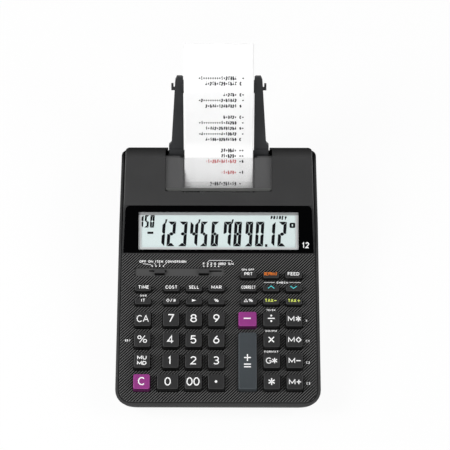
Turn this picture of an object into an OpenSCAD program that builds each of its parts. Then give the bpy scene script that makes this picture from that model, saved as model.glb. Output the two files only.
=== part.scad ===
// Printing desk calculator: a wedge-shaped case in two shells, forty-three sprung keys, two slide
// switches, a tilted display window, a strip printer under a hinged clear cover, and a holder with
// two arms that carries the paper roll and folds back. It stands on z = 0, with +Y to the rear.

/* [Case] */
// Width over the rim of the lower case
case_w = 165; // [164:0.5:172]
// Height of the front edge of the deck
front_h = 19.8; // [19.4:0.2:24]
// Radius of the front corners in plan
corner_r = 13; // [10:0.5:15]
// Radius of the rear corners in plan
rear_corner_r = 5; // [4:0.5:7]
// Wall and floor of the lower case
case_wall = 2.2; // [1.8:0.1:2.6]
// Width of the rim that frames the upper case
rim_w = 2.2; // [1.8:0.1:2.8]
// Groove between the rim and the upper case
rim_gap = 0.5; // [0.3:0.1:0.8]
// Wall of the upper case
shell_t = 2; // [1.8:0.1:2.4]
// Bevel along the outer edges of the shells
edge_c = 0.8; // [0.4:0.1:1]
// Height of the rubber feet
foot_h = 3; // [2.5:0.1:4]
// Diameter of the rubber feet
foot_d = 12; // [9:0.5:14]

/* [Top profile] */
// Slope of the keyboard deck, in degrees
deck_slope = 8.5; // [7.5:0.5:9.5]
// Length of the deck up its slope
deck_len = 124.5; // [123:0.5:130]
// Slope of the display, in degrees
display_slope = 20; // [18:0.5:22]
// Length of the display face up its slope
display_len = 40.6; // [40:0.2:46]
// Slope of the hood over the printer, in degrees
hood_slope = 4; // [3:0.5:5]
// Length of the hood up its slope
hood_len = 44; // [43.5:0.5:48]
// Slope of the tail behind the hood, in degrees
tail_slope = 25; // [22:1:28]
// Length of the tail down its slope
tail_len = 14; // [13:0.1:15]

/* [Keys] */
// Pitch of the key columns
col_pitch = 18.4; // [18.2:0.1:18.6]
// Pitch of the rows of tall keys
row_pitch = 17.3; // [17:0.1:17.6]
// Pitch of the rows of low keys
low_row_pitch = 11.2; // [11:0.1:11.5]
// Width of a key top
key_w = 13.2; // [12.4:0.1:14.2]
// Depth of a square key top
key_d = 13.2; // [12.4:0.1:14.5]
// Depth of a low key top
low_key_d = 5.4; // [5:0.1:7.3]
// Height of a key top over the deck
key_h = 4; // [3:0.1:5]
// Travel of a key
key_travel = 2; // [1.2:0.1:2.2]
// Clearance of a key in its hole
key_gap = 0.3; // [0.2:0.05:0.35]
// Pitch between two positions of a slide switch
switch_pitch = 3.05; // [2.5:0.05:3.1]

/* [Display] */
// Width of the display module's bezel
lcd_w = 132.2; // [120:0.2:136]
// Depth of the display module's bezel
lcd_d = 31.1; // [26:0.1:32]
// Thickness of the display window
window_t = 1.2; // [1:0.1:1.4]

/* [Printer] */
// Width of the paper roll and of its strip
paper_w = 57.5; // [56:0.5:58]
// Radius of the platen roller
platen_r = 6.5; // [6:0.1:6.8]
// Travel of the print head across the paper
head_travel = 44; // [36:1:44]
// Width of the clear printer cover
cover_w = 88.6; // [84:0.2:90]
// Depth of the clear printer cover at its rear ears
cover_d = 32.3; // [30:0.1:32.6]
// Thickness of the clear printer cover
cover_t = 1.6; // [1.4:0.1:1.8]

/* [Roll holder] */
// Length of an arm from its pivot to the roll's axis
arm_len = 63; // [60:0.5:68]
// Thickness of an arm
arm_t = 5; // [4:0.1:5]
// Lean of the raised arms over the horizontal, in degrees
arm_lean = 52; // [50:0.5:55]
// Radius of the paper roll
roll_r = 13; // [9.5:0.5:13]

/* [Hidden] */
$fn = 48;

KEY_GREY = [0.22, 0.22, 0.23];
KEY_PURPLE = [0.56, 0.2, 0.52];
KEY_STEEL = [0.29, 0.31, 0.33];
CASE_GREY = [0.24, 0.24, 0.25];

// clearances and small sizes that several pieces share
slack = 0.05;
run_fit = 0.06;
rim_drop = 0.6;
rim_rise = 3.3;
lap = 3;
side_draft = 0.14;
paper_t = 0.3;

// ---- top profile, as [y, z] in the plane of symmetry
function along(p, length, slope) = [p[0] + length * cos(slope), p[1] + length * sin(slope)];

deck_start = [rim_w + rim_gap, front_h];
crease = along(deck_start, deck_len, deck_slope);
hood_start = along(crease, display_len, display_slope);
shoulder = along(hood_start, hood_len, hood_slope);
tail_end = along(shoulder, tail_len, -tail_slope);
rear_rim = 1.4;
case_d = tail_end[0] + rim_gap + rear_rim;
rim_top = crease[1] + rim_rise;
bend_y = crease[0] + (rim_rise + rim_drop) / tan(deck_slope);

function deck_line(y) = front_h + (y - deck_start[0]) * tan(deck_slope);
function top_z(y) =
    y <= crease[0] ? deck_line(y)
    : y <= hood_start[0] ? crease[1] + (y - crease[0]) * tan(display_slope)
    : y <= shoulder[0] ? hood_start[1] + (y - hood_start[0]) * tan(hood_slope)
    : shoulder[1] - (y - shoulder[0]) * tan(tail_slope);
function rim_z(y) = min(deck_line(y) - rim_drop, rim_top);

// underside: bevelled up to the front and rear faces
nose_drop = 5;
front_bevel = 7;
rear_bevel = 5;
rear_lift = 8;
side_in = 5;
function under_z(y) = foot_h
    + max(0, (front_h - nose_drop - foot_h) * (1 - y / front_bevel))
    + max(0, rear_lift * (1 - (case_d - y) / rear_bevel));

// half width in plan at y, for an outline from y0 to y1 with round corners
function corner_in(d, r) = d >= r ? 0 : r - sqrt(max(0, r * r - (r - d) * (r - d)));
function half_w(y, w, y0, y1, r0, r1) = w - corner_in(y - y0, r0) - corner_in(y1 - y, r1);

// stations along y: dense round the corners, sparse along the sides
front_steps = 6;
rear_steps = 3;
function stations(y0, y1, r0, r1, between) = concat(
    [for (i = [0:front_steps]) y0 + r0 * (1 - cos(90 * i / front_steps))],
    between,
    [for (i = [rear_steps:-1:0]) y1 - r1 * (1 - cos(90 * i / rear_steps))]);

// solid skinned over rings of equally many points, each ring clockwise as seen from its outside
module skin(rings) {
    n = len(rings[0]);
    m = len(rings);
    points = [for (ring = rings) each ring];
    first = [for (j = [0:n - 1]) j];
    last = [for (j = [n - 1:-1:0]) (m - 1) * n + j];
    sides = [for (i = [0:m - 2]) for (j = [0:n - 1])
        let (a = i * n + j, b = i * n + (j + 1) % n)
        each [[a, a + n, b + n], [a, b + n, b]]];
    polyhedron(points, concat([first], sides, [last]), convexity = 8);
}

// ring in the plane of one station: foot, shoulder and top on each side
function section(y, hw, z0, z1, z2, in0, in1, in2) = [
    [-(hw - in0), y, z0], [-(hw - in1), y, z1], [-(hw - in2), y, z2],
    [hw - in2, y, z2], [hw - in1, y, z1], [hw - in0, y, z0]];

// rounded rectangle about its centre, as points
function round_rect(w, d, r, steps = 3) = [for (q = [0:3]) for (i = [0:steps])
    let (a = 90 * q + 90 * i / steps,
         cx = (w / 2 - r) * ((q == 0 || q == 3) ? 1 : -1),
         cy = (d / 2 - r) * (q <= 1 ? 1 : -1))
    [cx + r * cos(a), cy + r * sin(a)]];

// ---- frames on the sloped faces: x across, s up the slope, h out of the face
module on_plane(origin, slope, x, s, h) {
    translate([0, origin[0], origin[1]])
        rotate([slope, 0, 0])
            translate([x, s, h])
                children();
}
module on_deck(x = 0, s = 0, h = 0) on_plane(deck_start, deck_slope, x, s, h) children();
module on_display(x = 0, s = 0, h = 0) on_plane(crease, display_slope, x, s, h) children();
module on_hood(x = 0, s = 0, h = 0) on_plane(hood_start, hood_slope, x, s, h) children();
function hood_point(s, h) = [
    hood_start[0] + s * cos(hood_slope) - h * sin(hood_slope),
    hood_start[1] + s * sin(hood_slope) + h * cos(hood_slope)];

// bar along x between two round ends
module x_rod(x0, x1, y, z, r) {
    translate([x0, y, z])
        rotate([0, 90, 0])
            cylinder(h = x1 - x0, r = r);
}

// profile in the y-z plane, carried along x about the plane of symmetry
module x_prism(w, points) {
    translate([-w / 2, 0, 0])
        rotate([90, 0, 90])
            linear_extrude(w)
                polygon(points);
}

// ---- keyboard layout: columns in x, rows up the deck
function col_x(c) = c <= 3 ? -38.25 + (c - 1) * col_pitch : 24.7 + (c - 4) * col_pitch;
left_x = -61.3;
first_row = 15.35;
low_row = 82.2;
function row_s(r) = first_row + r * row_pitch;
function low_s(r) = low_row + r * low_row_pitch;
wide_w = key_w + 1.5;
wide_x = col_x(4) - 1;
zero_w = key_w + 3.9;
zero_x = col_x(1) - 2.1;

// name, x, s, width, depth, colour
KEYS = [
    ["key_clear", left_x, row_s(0), key_w, key_d, KEY_PURPLE],
    ["key_0", zero_x, row_s(0), zero_w, key_d, KEY_GREY],
    ["key_00", col_x(2), row_s(0), key_w + 0.4, key_d, KEY_GREY],
    ["key_point", col_x(3), row_s(0), key_w, key_d, KEY_GREY],
    ["key_total", col_x(5), row_s(0), key_w, key_d, KEY_GREY],
    ["key_memory_plus", col_x(6), row_s(0), key_w, key_d, KEY_GREY],
    ["key_mark_up", left_x, row_s(1), key_w, key_d, KEY_GREY],
    ["key_1", col_x(1), row_s(1), key_w, key_d, KEY_GREY],
    ["key_2", col_x(2), row_s(1), key_w, key_d, KEY_GREY],
    ["key_3", col_x(3), row_s(1), key_w, key_d, KEY_GREY],
    ["key_grand_total", col_x(5), row_s(1), key_w, key_d, KEY_GREY],
    ["key_memory_minus", col_x(6), row_s(1), key_w, key_d, KEY_GREY],
    ["key_percent", left_x, row_s(2), key_w, key_d, KEY_GREY],
    ["key_4", col_x(1), row_s(2), key_w, key_d, KEY_GREY],
    ["key_5", col_x(2), row_s(2), key_w, key_d, KEY_GREY],
    ["key_6", col_x(3), row_s(2), key_w, key_d, KEY_GREY],
    ["key_plus_equals", wide_x, row_s(1), wide_w, key_d + 2 * row_pitch, KEY_STEEL],
    ["key_times", col_x(5), row_s(2), key_w, key_d, KEY_GREY],
    ["key_memory_subtotal", col_x(6), row_s(2), key_w, key_d, KEY_GREY],
    ["key_clear_all", left_x, row_s(3), key_w, key_d, KEY_GREY],
    ["key_7", col_x(1), row_s(3), key_w, key_d, KEY_GREY],
    ["key_8", col_x(2), row_s(3), key_w, key_d, KEY_GREY],
    ["key_9", col_x(3), row_s(3), key_w, key_d, KEY_GREY],
    ["key_minus", wide_x, row_s(3), wide_w, key_d, KEY_PURPLE],
    ["key_divide", col_x(5), row_s(3), key_w, key_d, KEY_GREY],
    ["key_memory_total", col_x(6), row_s(3), key_w, key_d, KEY_GREY],
    ["key_item_count", left_x, low_s(0), key_w, low_key_d, KEY_GREY],
    ["key_subtotal", col_x(1), low_s(0), key_w, low_key_d, KEY_GREY],
    ["key_shift", col_x(2), low_s(0), key_w, low_key_d, KEY_GREY],
    ["key_percent_ratio", col_x(3), low_s(0), key_w, low_key_d, KEY_GREY],
    ["key_delta_percent", col_x(4), low_s(0), key_w, low_key_d, KEY_GREY],
    ["key_tax_minus", col_x(5), low_s(0), key_w, low_key_d, KEY_GREY],
    ["key_tax_plus", col_x(6), low_s(0), key_w, low_key_d, KEY_GREY],
    ["key_time", left_x, low_s(1), key_w, low_key_d, KEY_GREY],
    ["key_cost", col_x(1), low_s(1), key_w, low_key_d, KEY_GREY],
    ["key_sell", col_x(2), low_s(1), key_w, low_key_d, KEY_GREY],
    ["key_margin", col_x(3), low_s(1), key_w, low_key_d, KEY_GREY],
    ["key_correct", col_x(4), low_s(1), key_w, low_key_d, KEY_GREY],
    ["key_check_up", col_x(5), low_s(1), key_w, low_key_d, KEY_GREY],
    ["key_check_down", col_x(6), low_s(1), key_w, low_key_d, KEY_GREY],
    ["key_print", col_x(4), low_s(2), key_w, low_key_d, KEY_GREY],
    ["key_reprint", col_x(5), low_s(2), key_w, low_key_d, KEY_GREY],
    ["key_feed", col_x(6), low_s(2), key_w + 0.6, low_key_d, KEY_GREY]];
KEY_NAMES = [for (k = KEYS) k[0]];

// key form: the skirt under the top flares a little, most at the front
key_r = 1.6;
flare_side = 0.3;
flare_front = 0.3;
flare_rear = 0.2;
ear_w = 1;
ear_d = 5;
ear_t = 1;
// depths under the deck's upper face
ear_top = shell_t + slack;
skirt_end = ear_top + ear_t;
plunger_end = skirt_end + key_travel + 0.6;
nub_h = 0.6;
mat_t = 1;
mat_top = plunger_end + key_travel + 0.3 + nub_h;
board_top = mat_top + mat_t;
board_t = 1.6;
board_w = case_w - 16;

function skirt_w(k) = k[3] + 2 * flare_side;
function skirt_d(k) = k[4] + flare_front + flare_rear;
function skirt_s(k) = k[2] - (flare_front - flare_rear) / 2;

// ---- slide switches in their shared channel
channel_x0 = -68.9;
channel_x1 = 4.9;
channel_s = 108.5;
channel_d = 7;
channel_h = 1;
knob_w = 8.8;
knob_d = 5.4;
knob_h = 2.2;
knob_stem_w = 4;
knob_stem_d = 0.9;
left_knob_x = -48.3;
right_knob_x = -12;
left_back = 2;
left_on = 1;
right_on = 4;

// ---- display
window_inset = 0.3;
lcd_s = 3.4;
lcd_face = window_t + slack;
lcd_body_h = 4.5;
lcd_flange = 2.5;
lcd_flange_t = 1.5;
lcd_ring = 4;

// ---- printer cover in the hood's frame
cover_s0 = 12.6;
cover_r = 4;
cover_gap = 0.4;
// corners of its seat, tight enough for the cover's corners to swing clear
seat_r = 1.4;
cover_axis_h = -cover_t;
cover_axis_s = cover_s0 + cover_t;
cover_pin_r = 0.9;
cover_pin_l = 2.2;
tear_w = 64.4;
tear_step = 1.8;
bay_floor_h = -(2 * cover_t + 0.4);
shelf_t = 2;
slot_w = paper_w + 3;

// ---- printer and the paper's route, as [y, z]
platen = [shoulder[0] - 18.5, shoulder[1] - 16.2];
frame_in = paper_w / 2 + 2.6;
frame_t = 2;
frame_y0 = platen[0] - 17;
frame_y1 = platen[0] + 16.5;
frame_z0 = platen[1] - 19;
frame_z1 = platen[1] + 6.5;
axle_r = 2;
rod = [platen[0] - 13, platen[1] - 1];
rod_r = 1.5;
head_w = 12;
head_gap = 0.5;

pivot = [shoulder[0] + 6, shoulder[1] - 10.7];
pivot_r = 2;
notch_w = cover_w + 1.2;
notch_wall = 2.3;
notch_y0 = shoulder[0] + 1.2;
notch_y1 = pivot[0] + 3.3;
notch_floor = pivot[1] - 4.8;
arm_in = paper_w / 2 + 0.85;
arm_foot_out = 42;
arm_foot_l = 8.2;
roll_axis = along(pivot, arm_len, arm_lean);
peg_r = 5.5;
peg_l = 3.5;
pad_h = 0.75;
hook_out = 3.3;
hook_t = 1.8;
hook_l = 5;

function unit(a) = [cos(a), sin(a)];
function arc(c, r, a0, a1, steps) = [for (i = [0:steps]) c + r * unit(a0 + (a1 - a0) * i / steps)];
function bearing(p, q) = atan2(q[1] - p[1], q[0] - p[0]);

wrap_r = platen_r + slack + paper_t / 2;
coil_r = roll_r + slack + paper_t / 2;
exit_slope = 20;
end_slope = 22;
knee_run = 30.9;
knee_reach = 7.7;
curl_r = 30;
tail_run = 22.8;
strip_clear = 1.2;
web_slope = bearing(platen, roll_axis) - asin((coil_r - wrap_r) / norm(roll_axis - platen));
wrap_exit = platen + wrap_r * unit(exit_slope + 90);
knee = along(wrap_exit, knee_run, exit_slope);
rise_slope = bearing(knee, roll_axis) + asin((coil_r + strip_clear) / norm(roll_axis - knee));
knee_r = knee_reach / tan((rise_slope - exit_slope) / 2);
knee_start = along(knee, -knee_reach, exit_slope);
curl_start = along(knee, (roll_axis - knee) * unit(rise_slope), rise_slope);
curl_centre = curl_start + curl_r * unit(rise_slope - 90);
curl_end = curl_centre + curl_r * unit(end_slope + 90);
strip_end = along(curl_end, tail_run, end_slope);
paper_route = concat(
    [roll_axis + coil_r * unit(web_slope - 90)],
    arc(platen, wrap_r, web_slope - 90, exit_slope - 270, 14),
    arc(knee_start + knee_r * unit(exit_slope + 90), knee_r, exit_slope - 90, rise_slope - 90, 6),
    arc(curl_centre, curl_r, rise_slope + 90, end_slope + 90, 6),
    [strip_end]);

// the frame's origin is under the middle of the whole depth
total_d = strip_end[0] + paper_t / 2 * sin(end_slope);
module framed() {
    translate([0, -total_d / 2, 0])
        children();
}

// ---- what holds the inside together
post_r = 2.2;
post_s = [first_row + row_pitch / 2, row_s(3) + 7.8 + 1.2];
post_x = [-(case_w / 2 - 9.6), (col_x(3) + wide_x) / 2 - 0.4, case_w / 2 - 9.6];
foot_x = case_w / 2 - 16;
foot_y = [22, case_d - 20];
boss_x = case_w / 2 - 10.1;
boss_y = [deck_start[0] + (row_s(1) + row_s(2)) / 2 * cos(deck_slope), case_d - 36];
boss_r = 4;
screw_r = 1.6;
head_r = 3.2;
door_w = 62;
door_y0 = 104;
door_d = 52;
door_gap = 0.4;
door_t = case_wall - slack;
cell_h = 17;
jack_x = 52;
jack_z = 22;
jack_r = 2.85;
jack_l = 9;

// =========================================================== shells
upper_y0 = deck_start[0];
upper_y1 = tail_end[0];
upper_w = case_w / 2 - rim_w - rim_gap;
upper_r = corner_r - rim_w - rim_gap;
upper_rear_r = rear_corner_r - 1;

// outer or inner form of the upper case, inset by t
module upper_form(t, foot_drop) {
    ys = stations(upper_y0 + t, upper_y1 - t, upper_r - t, upper_rear_r - min(t, 1.5),
        [crease[0], bend_y, hood_start[0], shoulder[0]]);
    bevel = t == 0 ? edge_c : 0.01;
    skin([for (y = ys)
        let (hw = half_w(y, upper_w - t, upper_y0 + t, upper_y1 - t, upper_r - t, upper_rear_r - min(t, 1.5)),
             end_drop = max(0, bevel - (y - upper_y0 - t)) + max(0, bevel - (upper_y1 - t - y)),
             z2 = top_z(y) - t * 1.03 - end_drop,
             z1 = z2 - max(0.01, bevel - end_drop),
             lean = side_draft * max(0, z1 - rim_z(y)))
        section(y, hw, rim_z(y) - foot_drop, z1, z2, 0, lean, lean + bevel)]);
}

module lower_form() {
    ys = stations(0, case_d, corner_r, rear_corner_r, [bend_y]);
    skin([for (y = ys)
        let (hw = half_w(y, case_w / 2, 0, case_d, corner_r, rear_corner_r),
             end_drop = max(0, edge_c - y) + max(0, edge_c - (case_d - y)),
             z2 = rim_z(y) - end_drop,
             z1 = z2 - max(0.01, edge_c - end_drop))
        section(y, hw, under_z(y), z1, z2, side_in, 0, edge_c)]);
}

// hollow of the lower case: a step under the rim carries the upper case
step_w = 2.6;
module lower_recess() {
    w = case_w / 2 - rim_w;
    r0 = corner_r - rim_w;
    r1 = rear_corner_r - rear_rim;
    y1 = case_d - rear_rim;
    step_z = lap + slack;
    intersection() {
        linear_extrude(100)
            polygon(concat(
                arc([-w + r0, rim_w + r0], r0, 180, 270, front_steps),
                arc([w - r0, rim_w + r0], r0, 270, 360, front_steps),
                arc([w - r1, y1 - r1], r1, 0, 90, rear_steps),
                arc([-w + r1, y1 - r1], r1, 90, 180, rear_steps)));
        x_prism(case_w, [
            [0, rim_z(0) - step_z], [bend_y, rim_top - step_z], [case_d, rim_top - step_z],
            [case_d, rim_top + 20], [0, rim_top + 20]]);
    }
}
module lower_hollow() {
    y0 = rim_w + step_w;
    y1 = case_d - rear_rim - step_w;
    r0 = corner_r - rim_w - step_w;
    r1 = 1.2;
    w = case_w / 2 - rim_w - step_w;
    ys = stations(y0, y1, r0, r1, [bend_y]);
    skin([for (y = ys)
        let (hw = half_w(y, w, y0, y1, r0, r1))
        section(y, hw, under_z(y) + case_wall, rim_z(y) + 10, rim_z(y) + 20, 3.2, 0, 0)]);
}

module lower_case() framed() color(CASE_GREY) {
    difference() {
        union() {
            difference() {
                lower_form();
                lower_recess();
                lower_hollow();
            }
            // screw bosses up to the upper case
            for (x = [-boss_x, boss_x], y = boss_y) {
                translate([x, y, foot_h + case_wall / 2])
                    cylinder(h = boss_top(y) - foot_h - case_wall / 2, r = boss_r);
            }
            // cradle of the printer
            for (x = [-1, 1], y = [frame_y0 + 5, frame_y1 - 5]) {
                translate([x * (frame_in - 4), y, foot_h + case_wall / 2])
                    cylinder(h = frame_z0 - foot_h - case_wall / 2, r = 3.5);
            }
            // walls of the battery bay
            translate([-door_w / 2 - case_wall, door_y0 - case_wall, foot_h + 0.5])
                cube([door_w + 2 * case_wall, door_d + 2 * case_wall, cell_h + case_wall]);
            // body of the power inlet
            translate([jack_x, case_d - jack_l, jack_z])
                rotate([-90, 0, 0])
                    cylinder(h = jack_l - 0.4, r = jack_r + 2.4);
            translate([jack_x - 2, case_d - jack_l, foot_h + 1])
                cube([4, jack_l - 3, jack_z - foot_h - 3]);
        }
        // battery bay, open below
        translate([-door_w / 2 + 2, door_y0 + 2, foot_h - 1])
            cube([door_w - 4, door_d - 4, cell_h + 1]);
        translate([-door_w / 2 - door_gap, door_y0 - door_gap, foot_h - 1])
            cube([door_w + 2 * door_gap, door_d + 2 * door_gap, 1 + case_wall]);
        // seats of the feet
        for (x = [-foot_x, foot_x], y = foot_y) {
            translate([x, y, foot_h - 1])
                cylinder(h = 1.8, r = foot_d / 2 + slack);
        }
        // screw holes and their counterbores
        for (x = [-boss_x, boss_x], y = boss_y) {
            translate([x, y, foot_h - 1])
                cylinder(h = 60, r = screw_r);
            translate([x, y, foot_h - 1])
                cylinder(h = 7, r = head_r);
        }
        // power inlet
        translate([jack_x, case_d - jack_l + 1.4, jack_z])
            rotate([-90, 0, 0])
                cylinder(h = jack_l, r = jack_r);
    }
}
// the bosses end under the flat underside of the upper case's posts
function boss_top(y) = min(rim_z(y) - lap, rim_top - lap) - 6;

module screw_post(x, y) {
    translate([x, y, boss_top(y) + slack])
        difference() {
            cylinder(h = top_z(y) - boss_top(y) - slack - shell_t / 2, r = boss_r - 1.4);
            translate([0, 0, -1])
                cylinder(h = 9, r = screw_r - 0.4);
        }
}

module key_hole(k) {
    on_deck(k[1], skirt_s(k), -shell_t - 4)
        linear_extrude(shell_t + 8)
            polygon(round_rect(skirt_w(k) + 2 * key_gap, skirt_d(k) + 2 * key_gap, key_r + key_gap));
}

// seat of the roll holder: a trough across the tail, with walls that hold the pivots
module trough_block() {
    intersection() {
        upper_form(0, lap);
        translate([-notch_w / 2 - notch_wall, notch_y0 - 2, notch_floor - 2])
            cube([notch_w + 2 * notch_wall, case_d - notch_y0, 40]);
    }
}
module bay_shelf() {
    x_prism(notch_w + 2 * notch_wall, [
        hood_point(cover_s0 - cover_gap - 2, bay_floor_h - shelf_t),
        hood_point(cover_s0 + cover_d + 1.5, bay_floor_h - shelf_t),
        hood_point(cover_s0 + cover_d + 1.5, -shell_t / 2),
        hood_point(cover_s0 - cover_gap - 2, -shell_t / 2)]);
}
module bay_cuts() {
    // seat of the clear cover
    on_hood(0, cover_s0 + cover_d / 2 + 4, bay_floor_h)
        linear_extrude(20)
            polygon(round_rect(cover_w + 2 * cover_gap, cover_d + 8 + 2 * cover_gap, seat_r));
    // way down to the printer
    translate([-slot_w / 2, frame_y0 + 3, notch_floor - 12])
        cube([slot_w, notch_y0 + 3.4 - frame_y0 - 3, 60]);
    // trough
    translate([-notch_w / 2, notch_y0, notch_floor])
        cube([notch_w, notch_y1 - notch_y0, 40]);
    // the arms pass through the rear wall
    for (m = [0, 1])
        mirror([m, 0, 0])
            translate([arm_in - 0.6, notch_y1 - 1, rim_top + 0.1])
                cube([arm_foot_out - arm_in + 1.5, 20, 20]);
    // pivots of the roll holder and of the cover
    x_rod(-notch_w / 2 - 1.9, notch_w / 2 + 1.9, pivot[0], pivot[1], pivot_r + run_fit);
    cover_axis = hood_point(cover_axis_s, cover_axis_h);
    x_rod(-cover_w / 2 - 1.9, cover_w / 2 + 1.9, cover_axis[0], cover_axis[1], cover_pin_r + run_fit);
}

module upper_case() framed() color(CASE_GREY) {
    difference() {
        union() {
            difference() {
                upper_form(0, lap);
                upper_form(shell_t, lap + 1);
            }
            trough_block();
            bay_shelf();
            // ring that the display module is screwed to
            on_display(-lcd_w / 2 - lcd_flange - 1, lcd_s - 2.4, -lcd_ring)
                cube([lcd_w + 2 * lcd_flange + 2, lcd_d + 4.6, lcd_ring - shell_t / 2]);
            // posts that the circuit board hangs from
            for (x = post_x, s = post_s)
                on_deck(x, s, -board_top)
                    cylinder(h = board_top - shell_t / 2, r = post_r);
            for (x = [-boss_x, boss_x], y = boss_y)
                screw_post(x, y);
            // floor under the switch channel
            on_deck(channel_x0 - 1.5, channel_s - channel_d / 2 - 1.5, -channel_h - 1.6)
                cube([channel_x1 - channel_x0 + 3, channel_d + 3, 2]);
        }
        for (k = KEYS)
            key_hole(k);
        // switch channel and its two slots
        on_deck((channel_x0 + channel_x1) / 2, channel_s, -channel_h)
            linear_extrude(5)
                polygon(round_rect(channel_x1 - channel_x0, channel_d, 0.8));
        switch_slot(left_knob_x - left_back * switch_pitch, left_knob_x + left_on * switch_pitch);
        switch_slot(right_knob_x, right_knob_x + right_on * switch_pitch);
        // seat of the window, open at both sides
        on_display(-case_w / 2, 0, -window_t - slack)
            cube([case_w, display_len - 0.6, 20]);
        on_display(-lcd_w / 2 - 0.15, lcd_s - 0.15, -8)
            cube([lcd_w + 0.3, lcd_d + 0.3, 10]);
        bay_cuts();
    }
}
module switch_slot(x0, x1) {
    on_deck(x0 - knob_stem_w / 2 - 0.5, channel_s + 1.2 - knob_stem_d / 2 - 0.15, -6)
        cube([x1 - x0 + knob_stem_w + 1, knob_stem_d + 0.3, 8]);
}

// =========================================================== display
module display_window() framed() color([0.03, 0.03, 0.04]) {
    w0 = upper_w - window_inset - side_draft * (crease[1] - rim_z(crease[0])) - edge_c;
    w1 = upper_w - window_inset - side_draft * (hood_start[1] - rim_top) - edge_c;
    s1 = display_len - 0.6 - window_inset;
    r = 4;
    on_display(0, 0, -window_t)
        linear_extrude(window_t - slack)
            polygon(concat(
                [[w0, 0.6], [-w0, 0.6]],
                arc([-w1 + r, s1 - r], r, 180, 90, 5),
                arc([w1 - r, s1 - r], r, 90, 0, 5)));
}

module lcd_module() framed() color([0.75, 0.78, 0.78]) {
    on_display(0, lcd_s + lcd_d / 2, 0)
        difference() {
            union() {
                translate([-lcd_w / 2, -lcd_d / 2, -lcd_face - lcd_body_h])
                    cube([lcd_w, lcd_d, lcd_body_h]);
                translate([-lcd_w / 2 - lcd_flange, -lcd_d / 2 - 1.6, -lcd_ring - slack - lcd_flange_t])
                    cube([lcd_w + 2 * lcd_flange, lcd_d + 3.2, lcd_flange_t]);
            }
            // glass lies a little below the bezel
            translate([-lcd_w / 2 + 2.4, -lcd_d / 2 + 1.5, -lcd_face - 0.5])
                cube([lcd_w - 4.8, lcd_d - 3.6, 2]);
        }
}

// =========================================================== keyboard
function key_ring(w, d, r, s_off, z) = [for (p = round_rect(w, d, r)) [p[0], p[1] + s_off, z]];
module key(k) framed() color(k[5]) {
    top_bevel = 0.5;
    s_off = skirt_s(k) - k[2];
    on_deck(k[1], k[2], 0) {
        skin([
            key_ring(skirt_w(k), skirt_d(k), key_r, s_off, -skirt_end),
            key_ring(skirt_w(k), skirt_d(k), key_r, s_off, 0.2),
            key_ring(k[3], k[4], key_r, 0, key_h - top_bevel),
            key_ring(k[3] - 2 * top_bevel, k[4] - 2 * top_bevel, key_r - top_bevel, 0, key_h)]);
        // ears that stop the key under the deck
        translate([-skirt_w(k) / 2 - ear_w, s_off - ear_d / 2, -skirt_end])
            cube([skirt_w(k) + 2 * ear_w, ear_d, ear_t]);
        // plunger over the rubber dome
        translate([0, 0, -plunger_end])
            cylinder(h = plunger_end - skirt_end + 0.5, r = 1.8);
    }
}

module key_mat() framed() color([0.75, 0.72, 0.66]) {
    on_deck(0, 0, -board_top)
        difference() {
            union() {
                translate([-case_w / 2 + 11.5, 8, 0])
                    cube([case_w - 23, low_s(2) - 2, mat_t]);
                for (k = KEYS)
                    translate([k[1], k[2], mat_t / 2])
                        cylinder(h = mat_t / 2 + nub_h, r = 2.6);
            }
            for (x = post_x, s = post_s)
                translate([x, s, -1])
                    cylinder(h = 8, r = post_r + 0.3);
            boss_notches();
        }
}
// room for the front pair of screw bosses, in the deck's frame
module boss_notches() {
    for (x = [-boss_x, boss_x])
        translate([x, (row_s(1) + row_s(2)) / 2 - board_top * tan(deck_slope), -board_t - 5])
            cylinder(h = 30, r = boss_r + 1.4);
}

module circuit_board() framed() color([0.1, 0.36, 0.2]) {
    on_deck(0, 0, -board_top - board_t)
        difference() {
            translate([-board_w / 2, 7, 0])
                cube([board_w, low_s(2), board_t - slack]);
            boss_notches();
        }
}

module knob(x) {
    on_deck(x, channel_s, 0) {
        hull() {
            translate([0, 0, -channel_h + slack])
                linear_extrude(0.1)
                    polygon(round_rect(knob_w, knob_d, 1.2));
            translate([0, 0.3, knob_h - channel_h])
                linear_extrude(0.1)
                    polygon(round_rect(knob_w - 0.6, knob_d - 1.4, 1));
        }
        translate([-knob_stem_w / 2, 1.2 - knob_stem_d / 2, -channel_h - 1.6 - 1.1])
            cube([knob_stem_w, knob_stem_d, 3]);
        translate([-knob_stem_w / 2, -1.6, -channel_h - 1.6 - 1.1])
            cube([knob_stem_w, 5.6, 1.1 - slack]);
    }
}
module print_switch_knob() framed() color(KEY_GREY) {
    knob(left_knob_x);
}
module decimal_switch_knob() framed() color(KEY_GREY) {
    knob(right_knob_x);
}

// =========================================================== printer
module printer_cover() framed() color([0.6, 0.6, 0.62, 0.4]) {
    s1 = cover_s0 + cover_d;
    difference() {
        intersection() {
            union() {
                on_hood(-cover_w / 2, cover_axis_s, -cover_t)
                    cube([cover_w, cover_d, cover_t]);
                axis = hood_point(cover_axis_s, cover_axis_h);
                x_rod(-cover_w / 2, cover_w / 2, axis[0], axis[1], cover_t);
                for (x = [-cover_w / 2, cover_w / 2 - 1.5])
                    on_hood(x, cover_axis_s, bay_floor_h + slack)
                        cube([1.5, cover_d - cover_t, -bay_floor_h - slack - 0.5]);
            }
            on_hood(0, cover_s0 + cover_d / 2 + 4, -10)
                linear_extrude(20)
                    polygon(round_rect(cover_w, cover_d + 8, cover_r, 6));
            on_hood(-cover_w, 0, -10)
                cube([2 * cover_w, s1, 20]);
        }
        // tear edge, set back between the ears
        on_hood(-tear_w / 2, s1 - tear_step, -10)
            cube([tear_w, 10, 20]);
    }
    pin = hood_point(cover_axis_s, cover_axis_h);
    for (m = [0, 1])
        mirror([m, 0, 0])
            x_rod(cover_w / 2 - cover_pin_l, cover_w / 2 + 1.6, pin[0], pin[1], cover_pin_r);
}

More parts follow.
